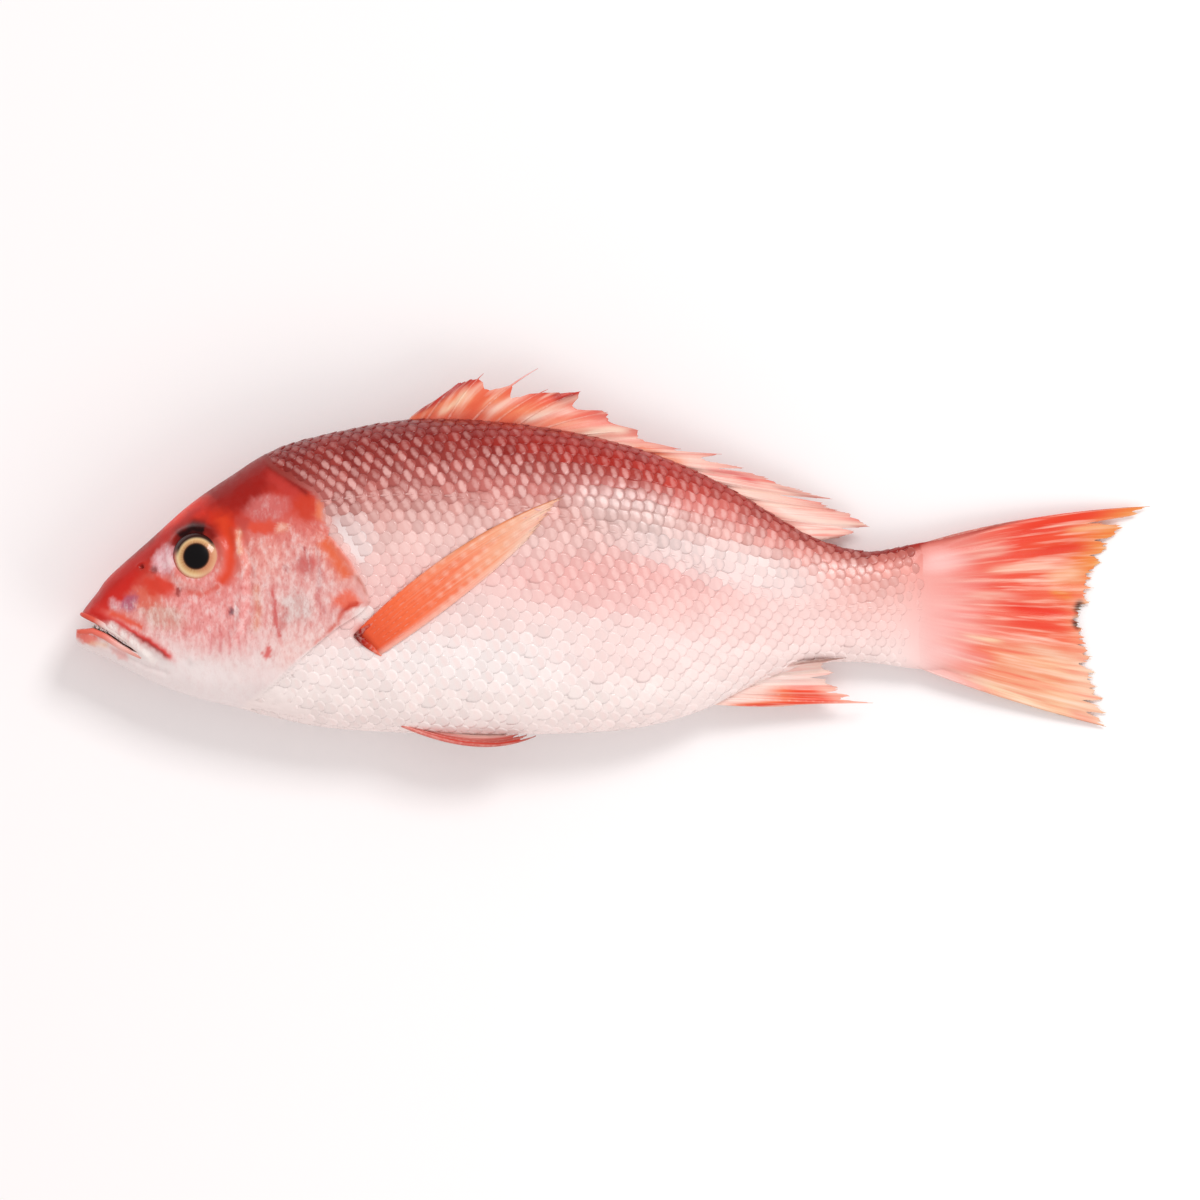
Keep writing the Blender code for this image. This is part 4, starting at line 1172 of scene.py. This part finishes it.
def dorsalPaint(x, y, across, along):
    front, rear = (ramp(finColours[key], along) for key in ("dorsalFront", "dorsalRear"))
    paint = blended(front, rear, smooth(0.24, 0.5, across))
    strokes = (
        ("#fbd8b8", 0.8, ((140.0, 71.5), (148.0, 77.0), (154.0, 83.0)), 1.3),
        ("#f9cbbb", 0.8, ((158.0, 72.0), (170.0, 78.0), (178.0, 82.0)), 1.6),
        ("#f0b3b2", 0.95, ((163.0, 83.5), (172.0, 87.4), (181.0, 90.8)), 2.0),
        ("#e2502e", 0.7, ((150.0, 72.0), (160.0, 80.0), (168.0, 84.0)), 1.6),
        ("#fbe0cf", 0.85, ((172.0, 69.5), (186.0, 73.0), (196.0, 74.5)), 1.7),
        ("#fbe3cd", 0.8, ((196.0, 64.5), (208.0, 66.5), (217.0, 66.0)), 1.5),
        ("#ee7d4c", 0.8, ((214.0, 60.0), (226.0, 57.0), (240.0, 52.0)), 2.0),
        ("#9c0f0c", 0.95, ((184.5, 79.8), (190.0, 78.8), (196.5, 80.6)), 2.0),
        ("#a92a2c", 0.9, ((126.0, 70.0), (139.0, 76.6), (149.0, 83.8), (158.6, 87.8)), 1.5),
        ("#d6454e", 0.7, ((243.0, 50.6), (256.0, 49.5), (268.0, 45.0)), 1.3),
        ("#b98078", 0.7, ((270.0, 45.0), (284.0, 41.0), (296.0, 38.4)), 0.8),
        ("#fbe6da", 0.8, ((282.0, 31.0), (294.0, 29.0), (306.0, 28.6)), 1.6),
    )
    return stroked(paint, x, y, strokes, 0.3)


def analPaint(x, y, across, along):
    lobe, upper = (ramp(finColours[key], along) for key in ("analLobe", "analUpper"))
    paint = blended(lobe, upper, smooth(0.36, 0.54, across))
    # painted shadow: a brown band on the last rays, where they lie against the body's edge
    return tinted(paint, 0.9 * smooth(0.87, 0.95, across) * smooth(0.1, 0.5, along), "#8e5a50")


def tailPaint(x, y, across, along):
    upper, middle, lower = (ramp(finColours[key], along) for key in ("tailUpper", "tailMiddle", "tailLower"))
    paint = blended(blended(upper, middle, smooth(0.26, 0.44, across)), lower, smooth(0.60, 0.76, across))
    strokes = (
        ("#a52c22", 0.85, ((330.0, 22.6), (344.0, 24.6), (360.0, 29.2), (378.0, 33.6)), 0.7),
        ("#ee3c22", 0.85, ((358.0, 24.5), (376.0, 28.5), (394.0, 33.5), (408.0, 36.0)), 3.0),
        ("#f0a090", 0.6, ((342.0, 17.0), (356.0, 19.5), (368.0, 20.5)), 2.6),
        ("#e8391f", 0.9, ((370.0, 17.5), (386.0, 20.5), (399.0, 21.5)), 2.2),
        ("#f9c9ae", 0.75, ((352.0, 11.0), (370.0, 13.0), (386.0, 13.5)), 1.8),
        ("#fbbd86", 0.8, ((384.0, 26.5), (398.0, 29.0), (409.0, 29.5)), 1.6),
        ("#fabb92", 0.8, ((376.0, 8.0), (388.0, 10.0), (397.0, 10.5)), 3.4),
        ("#ec4a34", 0.8, ((340.0, 5.0), (356.0, 5.6), (372.0, 3.6)), 1.1),
        ("#f7c0ae", 0.7, ((342.0, 1.6), (358.0, 2.2), (374.0, 0.8)), 1.2),
        ("#f09848", 0.7, ((379.0, 4.0), (386.0, 2.0), (391.0, 0.6)), 1.6),
        ("#ee3520", 0.95, ((356.0, -0.6), (374.0, -4.0), (393.0, -6.0)), 2.4),
        ("#f04a36", 0.85, ((358.0, -7.0), (374.0, -9.5), (391.0, -11.5)), 2.2),
        ("#fbe2bb", 0.85, ((344.0, -13.2), (354.0, -15.2), (364.0, -16.6)), 0.9),
        ("#f2694b", 0.8, ((344.0, -17.5), (352.0, -22.0), (360.0, -25.5)), 4.2),
        ("#f6c3a6", 0.7, ((366.0, -16.5), (378.0, -20.0), (390.0, -24.0)), 1.8),
        ("#f3885c", 0.6, ((364.0, -24.0), (380.0, -30.0), (394.0, -36.0)), 2.2),
        ("#fbdcb8", 0.85, ((342.0, -28.0), (362.0, -35.6), (384.0, -43.6)), 2.2),
        ("#f09a80", 0.8, ((386.0, -42.0), (394.0, -46.0), (401.0, -48.5)), 1.6),
    )
    paint = stroked(paint, x, y, strokes, 0.4)
    dots = (
        ("#2a1414", 0.95, (392.0, -3.0), (1.9, 2.9), -12),
        ("#2a1414", 0.95, (391.2, -9.0), (1.9, 2.6), 12),
        ("#9a8c86", 0.5, (396.0, -17.0), (1.4, 6.0), 8),
    )
    paint = tinted(dabbed(paint, x, y, dots), 0.5 * smooth(0.94, 1.0, along), "#fbdca4")
    trunk = trunkTint(np.minimum(x, 334.0), between(21.0, -26.4, across))
    paint = blended(trunk, 0.91 * paint, smooth(332, 360, x + 5.0 * wobble(0.3 * x, y, 3.0)))
    # a painted highlight: a pale whitish-pink blot on the tail's root
    return tinted(paint, 0.4 * blot(x, y, (338.0, 14.6), (8.0, 3.2), 8, 0.9), "#fbe6e4")


def pelvicPaint(x, y, across, along):
    return blended(ramp(finColours["pelvic"], along), linear("#f6d6cc"), smooth(0.3, 0.9, across))


def pectoralPaint(x, y, across, along):
    paint = tinted(ramp(finColours["pectoral"], along), 0.55 * smooth(0.78, 1.0, across), "#fbd5c6")
    paint = tinted(paint, 0.5 * (1 - smooth(0.0, 0.35, across)) * smooth(0.2, 0.5, along), "#f2b28e")
    cells = smooth(-0.1, 0.8, draped(x, y)) * smooth(0.22, 0.45, along)
    paint = tinted(paint, 0.28 * cells, "#fbdccb")
    return tinted(paint, 0.8 * (1 - smooth(0.0, 0.07, across)) * smooth(0.35, 0.6, along), "#d9763c")


def analLift(x, y, across, along):  # the hind rays fold up against the body
    folded = 7.0 * smooth(0.7, 1.0, across) * smooth(0.0, 0.4, along)
    return railHeight(x, True) - 2.5 * along * along + folded


def tailCover(x, y):  # half thickness of the skin that runs from the body over the tail's root
    deep = np.interp(x, (326, 333, 338, 346, 356, 370, 388), (5.4, 5.0, 4.3, 3.0, 1.8, 0.7, 0.0))
    reach = np.interp(x, (330, 338, 388), (25.6, 25.0, 38.0))
    return deep * np.sqrt(np.clip(1 - ((y + 2.0) / reach) ** 2, 0, 1))


pelvicSheet = {
    "rays": pelvicRays(), "spines": 1, "dips": (0.1,), "rows": 30, "perGap": 8, "thick": 0.42, "rib": 0.25,
    "pleat": 0.5, "rayWidth": (0.6, 0.14), "vivid": 0.6, "slots": (), "paint": pelvicPaint, "rayTint": 0.95,
    "rayPale": 0.12,
}
pectoralSheet = {
    "rays": pectoralRays(), "spines": 0, "dips": (0.02,), "rows": 110, "perGap": 8, "thick": 0.34,
    "rib": 0.12, "pleat": 0.1, "rayWidth": (0.32, 0.1), "vivid": 0.3,
    "slots": ((0.3, 0.05, 0.02), (0.62, 0.04, 0.02)), "paint": pectoralPaint, "rayTint": 0.96, "rayPale": 0.0,
}
finShapes = {  # a slot is where it is across the fin, how deep it is torn and half its width
    "dorsalFin": {
        "rays": dorsalRays(), "spines": 10, "rows": 40, "perGap": 10, "thick": 0.42, "rib": 0.2, "pleat": 0.7,
        "dips": (0.02, 0.03, 0.16, 0.2, 0.05, 0.2, 0.1, 0.14, 0.16, 0.2, 0.02), "rayWidth": (0.5, 0.12),
        "vivid": 0.75, "paint": dorsalPaint, "rayTint": 1.0, "rayPale": 0.12,
        "slots": ((0.158, 0.3, 0.075), (0.545, 0.25, 0.012), (0.70, 0.3, 0.016), (0.92, 0.2, 0.014)),
        "lift": lambda x, y, a, s: railHeight(x) - 3.5 * s * s - 0.6 * np.sin(9 * a) * s,
    },
    "analFin": {
        "rays": analRays(), "spines": 2, "dips": (0.14, 0.14, 0.05), "rows": 34, "perGap": 10, "thick": 0.42,
        "rib": 0.2, "pleat": 0.6, "rayWidth": (0.5, 0.12), "vivid": 0.5, "paint": analPaint, "rayTint": 0.98,
        "rayPale": 0.12, "slots": ((0.34, 0.12, 0.03), (0.62, 0.2, 0.04)),
        "lift": analLift,
    },
    "tailFin": {
        "rays": tailRays(), "spines": 0, "dips": (0.02,), "rows": 90, "perGap": 12, "thick": 0.44,
        "rib": 0.34, "pleat": 0.2, "rayWidth": (0.6, 0.1), "vivid": 0.7, "paint": tailPaint,
        "rayTint": 1.0, "rayPale": 0.12, "cover": tailCover,
        "slots": (
            (0.062, 0.2, 0.022), (0.15, 0.08, 0.014), (0.22, 0.05, 0.01), (0.31, 0.06, 0.012),
            (0.38, 0.04, 0.01), (0.63, 0.04, 0.01), (0.72, 0.05, 0.012), (0.81, 0.05, 0.01),
            (0.9, 0.07, 0.012), (0.955, 0.06, 0.012),
        ),
        "lift": lambda x, y, a, s: between(9.2, 1.2, s**1.3) + 0.7 * np.sin(11 * a + 2 * s) * s,
    },
    "pelvicLeft": {
        **pelvicSheet,
        "lift": lambda x, y, a, s: railHeight(x, True) + between(8.0, 2.2, a) * (1 - 0.25 * s),
    },
    "pelvicRight": {
        **pelvicSheet,
        "lift": lambda x, y, a, s: railHeight(x, True) - between(8.0, 2.2, a) * (1 - 0.25 * s),
    },
    "pectoralLeft": {**pectoralSheet, "lift": onFlank(1, 0.9, 0.4)},
    "pectoralRight": {**pectoralSheet, "lift": onFlank(-1, 0.9, 0.4)},
}


def edgeShare(shape, across):  # how far out the fin reaches: dips between rays, torn slots and a frayed edge
    spot = across * (len(shape["rays"]) - 1)
    dips = np.array(shape["dips"])[np.minimum(np.floor(spot).astype(int), len(shape["dips"]) - 1)]
    ragged = 0.016 * (1 + np.sin(17.3 * spot + 3 * np.sin(5.1 * spot)))
    frayed = 0.022 * np.abs(np.sin(math.tau * spot)) + ragged
    torn = sum(depth * np.clip(1 - np.abs(across - at) / half, 0, 1) for at, depth, half in shape["slots"])
    return 1 - dips * np.sin(math.pi * (spot % 1.0)) ** 2 - frayed - torn


def finSurface(shape, across, along):
    spot = across * (len(shape["rays"]) - 1)
    index = np.clip(np.floor(spot).astype(int), 0, len(shape["rays"]) - 2)
    flat = blended(bowed(shape["rays"], index, along), bowed(shape["rays"], index + 1, along), spot - index)
    height = shape["lift"](flat[..., 0], flat[..., 1], across, along)
    pleat = shape["pleat"] * np.sin(math.pi * spot) * smooth(0.0, 0.3, along)
    return np.concatenate([flat, np.maximum(height + pleat, 0.5)[..., None]], -1)


def sheetHalf(shape, points, across, along):
    ribs = 0.5 + 0.5 * np.cos(math.tau * across * (len(shape["rays"]) - 1))
    half = shape["thick"] / 2 * between(1.0, 0.4, along)
    half = half + shape["rib"] * ribs * smooth(0.05, 0.4, along) * (1 - 0.7 * along)
    cover = shape["cover"](points[..., 0], points[..., 1]) if "cover" in shape else 0
    return np.minimum(np.hypot(half, cover), points[..., 2] - 0.1)


def makeSheet(name, shape, finish):
    gaps = len(shape["rays"]) - 1
    across, along = np.linspace(0, 1, gaps * shape["perGap"] + 1)[:, None], np.linspace(0, 1, shape["rows"])
    across, along = across + 0 * along, along * edgeShare(shape, across)
    points = finSurface(shape, across, along)
    half = sheetHalf(shape, points, across, along)[..., None] * (0, 0, 1)
    columns, rows = across.shape
    layer = columns * rows
    faces = gridFaces(columns, rows) + gridFaces(columns, rows, start=layer, flip=True)
    rim = [(c, 0) for c in range(columns)] + [(columns - 1, r) for r in range(1, rows)]
    rim += [(c, rows - 1) for c in range(columns - 2, -1, -1)] + [(0, r) for r in range(rows - 2, 0, -1)]
    rim = [c * rows + r for c, r in rim]
    faces += [[a, b, b + layer, a + layer] for a, b in zip(rim, rim[1:] + rim[:1])]
    length = np.linalg.norm(shape["rays"][:, 2] - shape["rays"][:, 0], axis=1).mean()
    paints = {
        "tint": shape["paint"](points[..., 0], points[..., 1], across, along).reshape(-1, 3),
        "finPlace": np.stack([across * gaps, along * length, 0 * along], -1).reshape(-1, 3),
        "vivid": (shape["vivid"] * smooth(0.02, 0.5, along)).ravel(),
    }
    both = np.vstack([(points + half).reshape(-1, 3), (points - half).reshape(-1, 3)])
    sheet = makeMesh(name, toWorld(both), faces, {key: np.concatenate([v, v]) for key, v in paints.items()})
    faceOut(sheet)
    return dress(sheet, finish)


def makeRays(name, shape, finish):
    gaps = len(shape["rays"]) - 1
    thick, thin = shape["rayWidth"]
    branches = ((0.0, 0.45, (0.0,)), (0.36, 0.74, (-0.13, 0.13)), (0.66, 1.0, (-0.27, -0.09, 0.09, 0.27)))
    lines = []
    for ray in range(gaps + 1):
        spine = ray < shape["spines"]
        for start, end, offsets in ((0.0, 1.0, (0.0,)),) if spine else branches:
            for offset in offsets:
                s = np.linspace(start, end, 2 + int(32 * (end - start)))
                if spine:
                    spot, out, radii = ray + 0 * s, s, 1.3 * thick * (1 - 0.86 * s**2)
                else:
                    apart = np.sign(offset) * min(abs(offset), 0.13) * smooth(0.3, 0.5, s)
                    if len(offsets) == 4:
                        apart = np.sign(offset) * between(0.13, abs(offset), smooth(0.62, 0.8, s))
                    spot = np.clip(ray + apart, 0, gaps)
                    out = s * (edgeShare(shape, spot / gaps) + 0.012)
                    joints = 1 + 0.1 * (np.arange(len(s)) % 2)
                    swell = (0.55 + 0.45 * smooth(0.0, 0.2, s)) / len(offsets) ** 0.25
                    radii = between(thick, thin, s) * joints * swell
                points, radii = finSurface(shape, spot / gaps, out), np.maximum(radii, 0.08)
                points[:, 2] = np.maximum(points[:, 2], radii + 0.1)
                tint = shape["paint"](points[:, 0], points[:, 1], spot / gaps, out)
                tint = tinted(tint, shape["rayPale"] + 0 * s, "#fbdccf") * shape["rayTint"]
                lines.append((points, radii, tint))
    return makeTubes(name, lines, finish)


# Lips, teeth and the fold that the pectoral fin folds into
lipShapes = (  # line, radius and colours of the upper and the lower lip
    (
        ((2.2, -5.6), (8.0, -8.0), (14.0, -11.3), (20.0, -15.4), (25.6, -21.0)), 1.35,
        ((0.0, "#de3f2c"), (0.2, "#e8604c"), (0.4, "#f7e5de"), (0.9, "#f6dcd4"), (1.0, "#e9aea2")),
    ),
    (
        ((1.0, -12.4), (6.5, -12.0), (11.5, -14.2), (17.5, -18.2), (25.6, -22.4)), 1.3,
        ((0.0, "#ea6450"), (0.35, "#ee7868"), (0.65, "#f1b8ae"), (1.0, "#ea9c8e")),
    ),
)
finFold = {
    "arms": (
        ((109.2, -14.2), (113.0, -10.8), (119.0, -6.4)),
        ((109.2, -13.6), (113.4, -17.0), (119.2, -21.6)),
    ),
    "radius": 1.4,
    "colours": ((0.0, "#6a0d07"), (0.3, "#a81c0f"), (0.7, "#de4a2a"), (1.0, "#f0876c")),
}


def flankPath(side, line, step=0.7, sink=0.0):
    line = np.array(line, float)
    reach = np.concatenate([[0.0], np.cumsum(np.linalg.norm(np.diff(line, axis=0), axis=1))])
    spots = np.linspace(0, reach[-1], max(4, int(reach[-1] / step)))
    xs, ys = np.interp(spots, reach, line[:, 0]), np.interp(spots, reach, line[:, 1])
    path = np.array([flankPoint(x, y, side)[0] for x, y in zip(xs, ys)])
    path[:, 2] -= side * sink
    return path


def makeLips(finish):
    lines = []
    for side in (1, -1):
        for line, radius, stops in lipShapes:
            path = flankPath(side, line, 0.6, 0.5)
            share = np.linspace(0, 1, len(path))
            radii = radius * np.sin(between(0.5, math.pi - 0.3, share)) ** 0.6
            lines.append((path, radii, ramp(stops, share)))
    return makeTubes("lips", lines, finish, sides=12)


def makeTeeth(finish):
    rings = np.array([(0.46, 0.0), (0.4, 0.5), (0.26, 1.0), (0.1, 1.4), (0.03, 1.5)])  # radius and height, mm
    turn = np.arange(7) * math.tau / 7
    points = np.array([(r * math.cos(a), r * math.sin(a), h) for r, h in rings for a in turn])
    faces = gridFaces(5, 7, wrap=True) + [list(range(7)), list(range(34, 27, -1))]
    cone = makeMesh("toothCone", points * mm, faces)
    spots, down = [], []
    for side in (1, -1):
        for line, way in ((mouth["roof"][3:-1], -1), (mouth["floor"][2:-2], 1)):
            path = flankPath(side, line, 1.5, 2.4)
            spots.append(path)
            down.append(np.broadcast_to((0.1, way, 0.0), path.shape))
    spots, down = np.vstack(spots), np.vstack(down)
    rng = np.random.default_rng(5)
    backward, size = np.broadcast_to((1.0, 0, 0), spots.shape), rng.uniform(0.7, 1.15, len(spots))
    paints = {"outward": down, "backward": backward, "size": size}
    scatter("teeth", spots, paints, cone, finish, Follow=0.0)
    bpy.data.objects.remove(cone)


def makeFolds(finish):
    lines = []
    for side in (1, -1):
        for line in finFold["arms"]:
            path = flankPath(side, line, 0.6, 0.1)
            share = np.linspace(0, 1, len(path))
            radii = finFold["radius"] * np.sin(between(0.8, math.pi - 0.15, share)) ** 0.7
            path[:, 2] = np.maximum(path[:, 2], radii + 0.1)  # the lower flank's stays above the table
            lines.append((path, radii, ramp(finFold["colours"], share)))
    return makeTubes("pectoralFolds", lines, finish, sides=10)


def build():
    bareSkin, scales, rays, finSkin = bareSkinMaterial(), scaleMaterial(), rayMaterial(), finSkinMaterial()
    eyeFinish = eyeMaterial()
    # the mouth's lining is near-black: painted shade inside the open mouth
    shadedLining = fleshMaterial("shadedMouthLining", "#4a1a18", "#7c3a34")
    tooth = fleshMaterial("toothEnamel", "#f6efe2", "#e6dac4")
    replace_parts(makeSkin(bareSkin, shadedLining), "fish")
    print("stage: scales")
    plate = makePlate()
    for label, side in (("Left", 1), ("Right", -1)):
        spots, paints, onLine = placeScales(side)
        scatter("scales" + label, spots, paints, plate, scales, Seed=scaleShape["seed"] + side)
        onCanal = {key: values[onLine] for key, values in paints.items()}
        makeCanals("canals" + label, spots[onLine], onCanal, scales)
    bpy.data.objects.remove(plate)
    print("stage: fins")
    for name, shape in finShapes.items():
        makeSheet(name, shape, finSkin)
        makeRays(name + "Rays", shape, rays)
    print("stage: eyes and mouth")
    for name, node, side in (("eyeLeft", "eye_left", 1), ("eyeRight", "eye_right", -1)):
        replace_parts(makeEye(name, side, eyeFinish), node)
    makeLips(bareSkin)
    makeTeeth(tooth)
    makeFolds(rays)
    bpy.data.objects.remove(loft)


studio = {
    "table": (0.98, 0.955, 0.955, 1.0),
    "lens": 300.0,
    "distance": 3.9,  # metres above the fish's middle height
    "aim": (-0.00588, -0.01666, 0.025),
    "sky": 0.70,
    "mirrored": 0.2,  # strength of the sky in reflections, as a dark ceiling gives
    "key": ((1.05, 1.75, 2.6), (0, 0, 0), 1.0, 41.0),  # place and aim in metres, size and power
    "fill": ((0.62, -0.6, 0.75), (0.16, 0, 0), 0.6, 2.4),
}


def setStudio():
    scene = bpy.context.scene
    scene.view_settings.view_transform = "Standard"
    camera = bpy.data.objects.new("camera", bpy.data.cameras.new("camera"))
    camera.data.lens = studio["lens"]
    camera.data.sensor_width = 36.0
    camera.data.clip_end = 50.0
    camera.location = Vector(studio["aim"]) + Vector((0, 0, studio["distance"]))
    scene.collection.objects.link(camera)
    scene.camera = camera
    floor = makeMesh("floor", [(-4, -4, 0), (4, -4, 0), (4, 4, 0), (-4, 4, 0)], [[0, 1, 2, 3]])
    table, tree, shader = newMaterial("paleTable", (0.9,))
    connect(tree, shader, {"Base Color": studio["table"]})
    floor.data.materials.append(table)
    world = bpy.data.worlds.new("softbox")
    world.use_nodes = True
    path = addNode(world.node_tree, "ShaderNodeLightPath")
    drop = {0: path.outputs["Is Glossy Ray"], 1: studio["mirrored"] - studio["sky"], 2: studio["sky"]}
    strength = addNode(world.node_tree, "ShaderNodeMath", drop, operation="MULTIPLY_ADD")
    background = world.node_tree.nodes["Background"]
    connect(world.node_tree, background, {"Color": (1.0, 0.955, 0.95, 1.0), "Strength": strength})
    scene.world = world
    for name in ("key", "fill"):
        spot, aim, size, power = studio[name]
        lamp = bpy.data.objects.new(name, bpy.data.lights.new(name, "AREA"))
        lamp.data.size = size
        lamp.data.energy = power
        lamp.location = spot
        lamp.rotation_euler = (Vector(aim) - Vector(spot)).to_track_quat("-Z", "Y").to_euler()
        scene.collection.objects.link(lamp)


build()
setStudio()
bpy.context.view_layer.update()
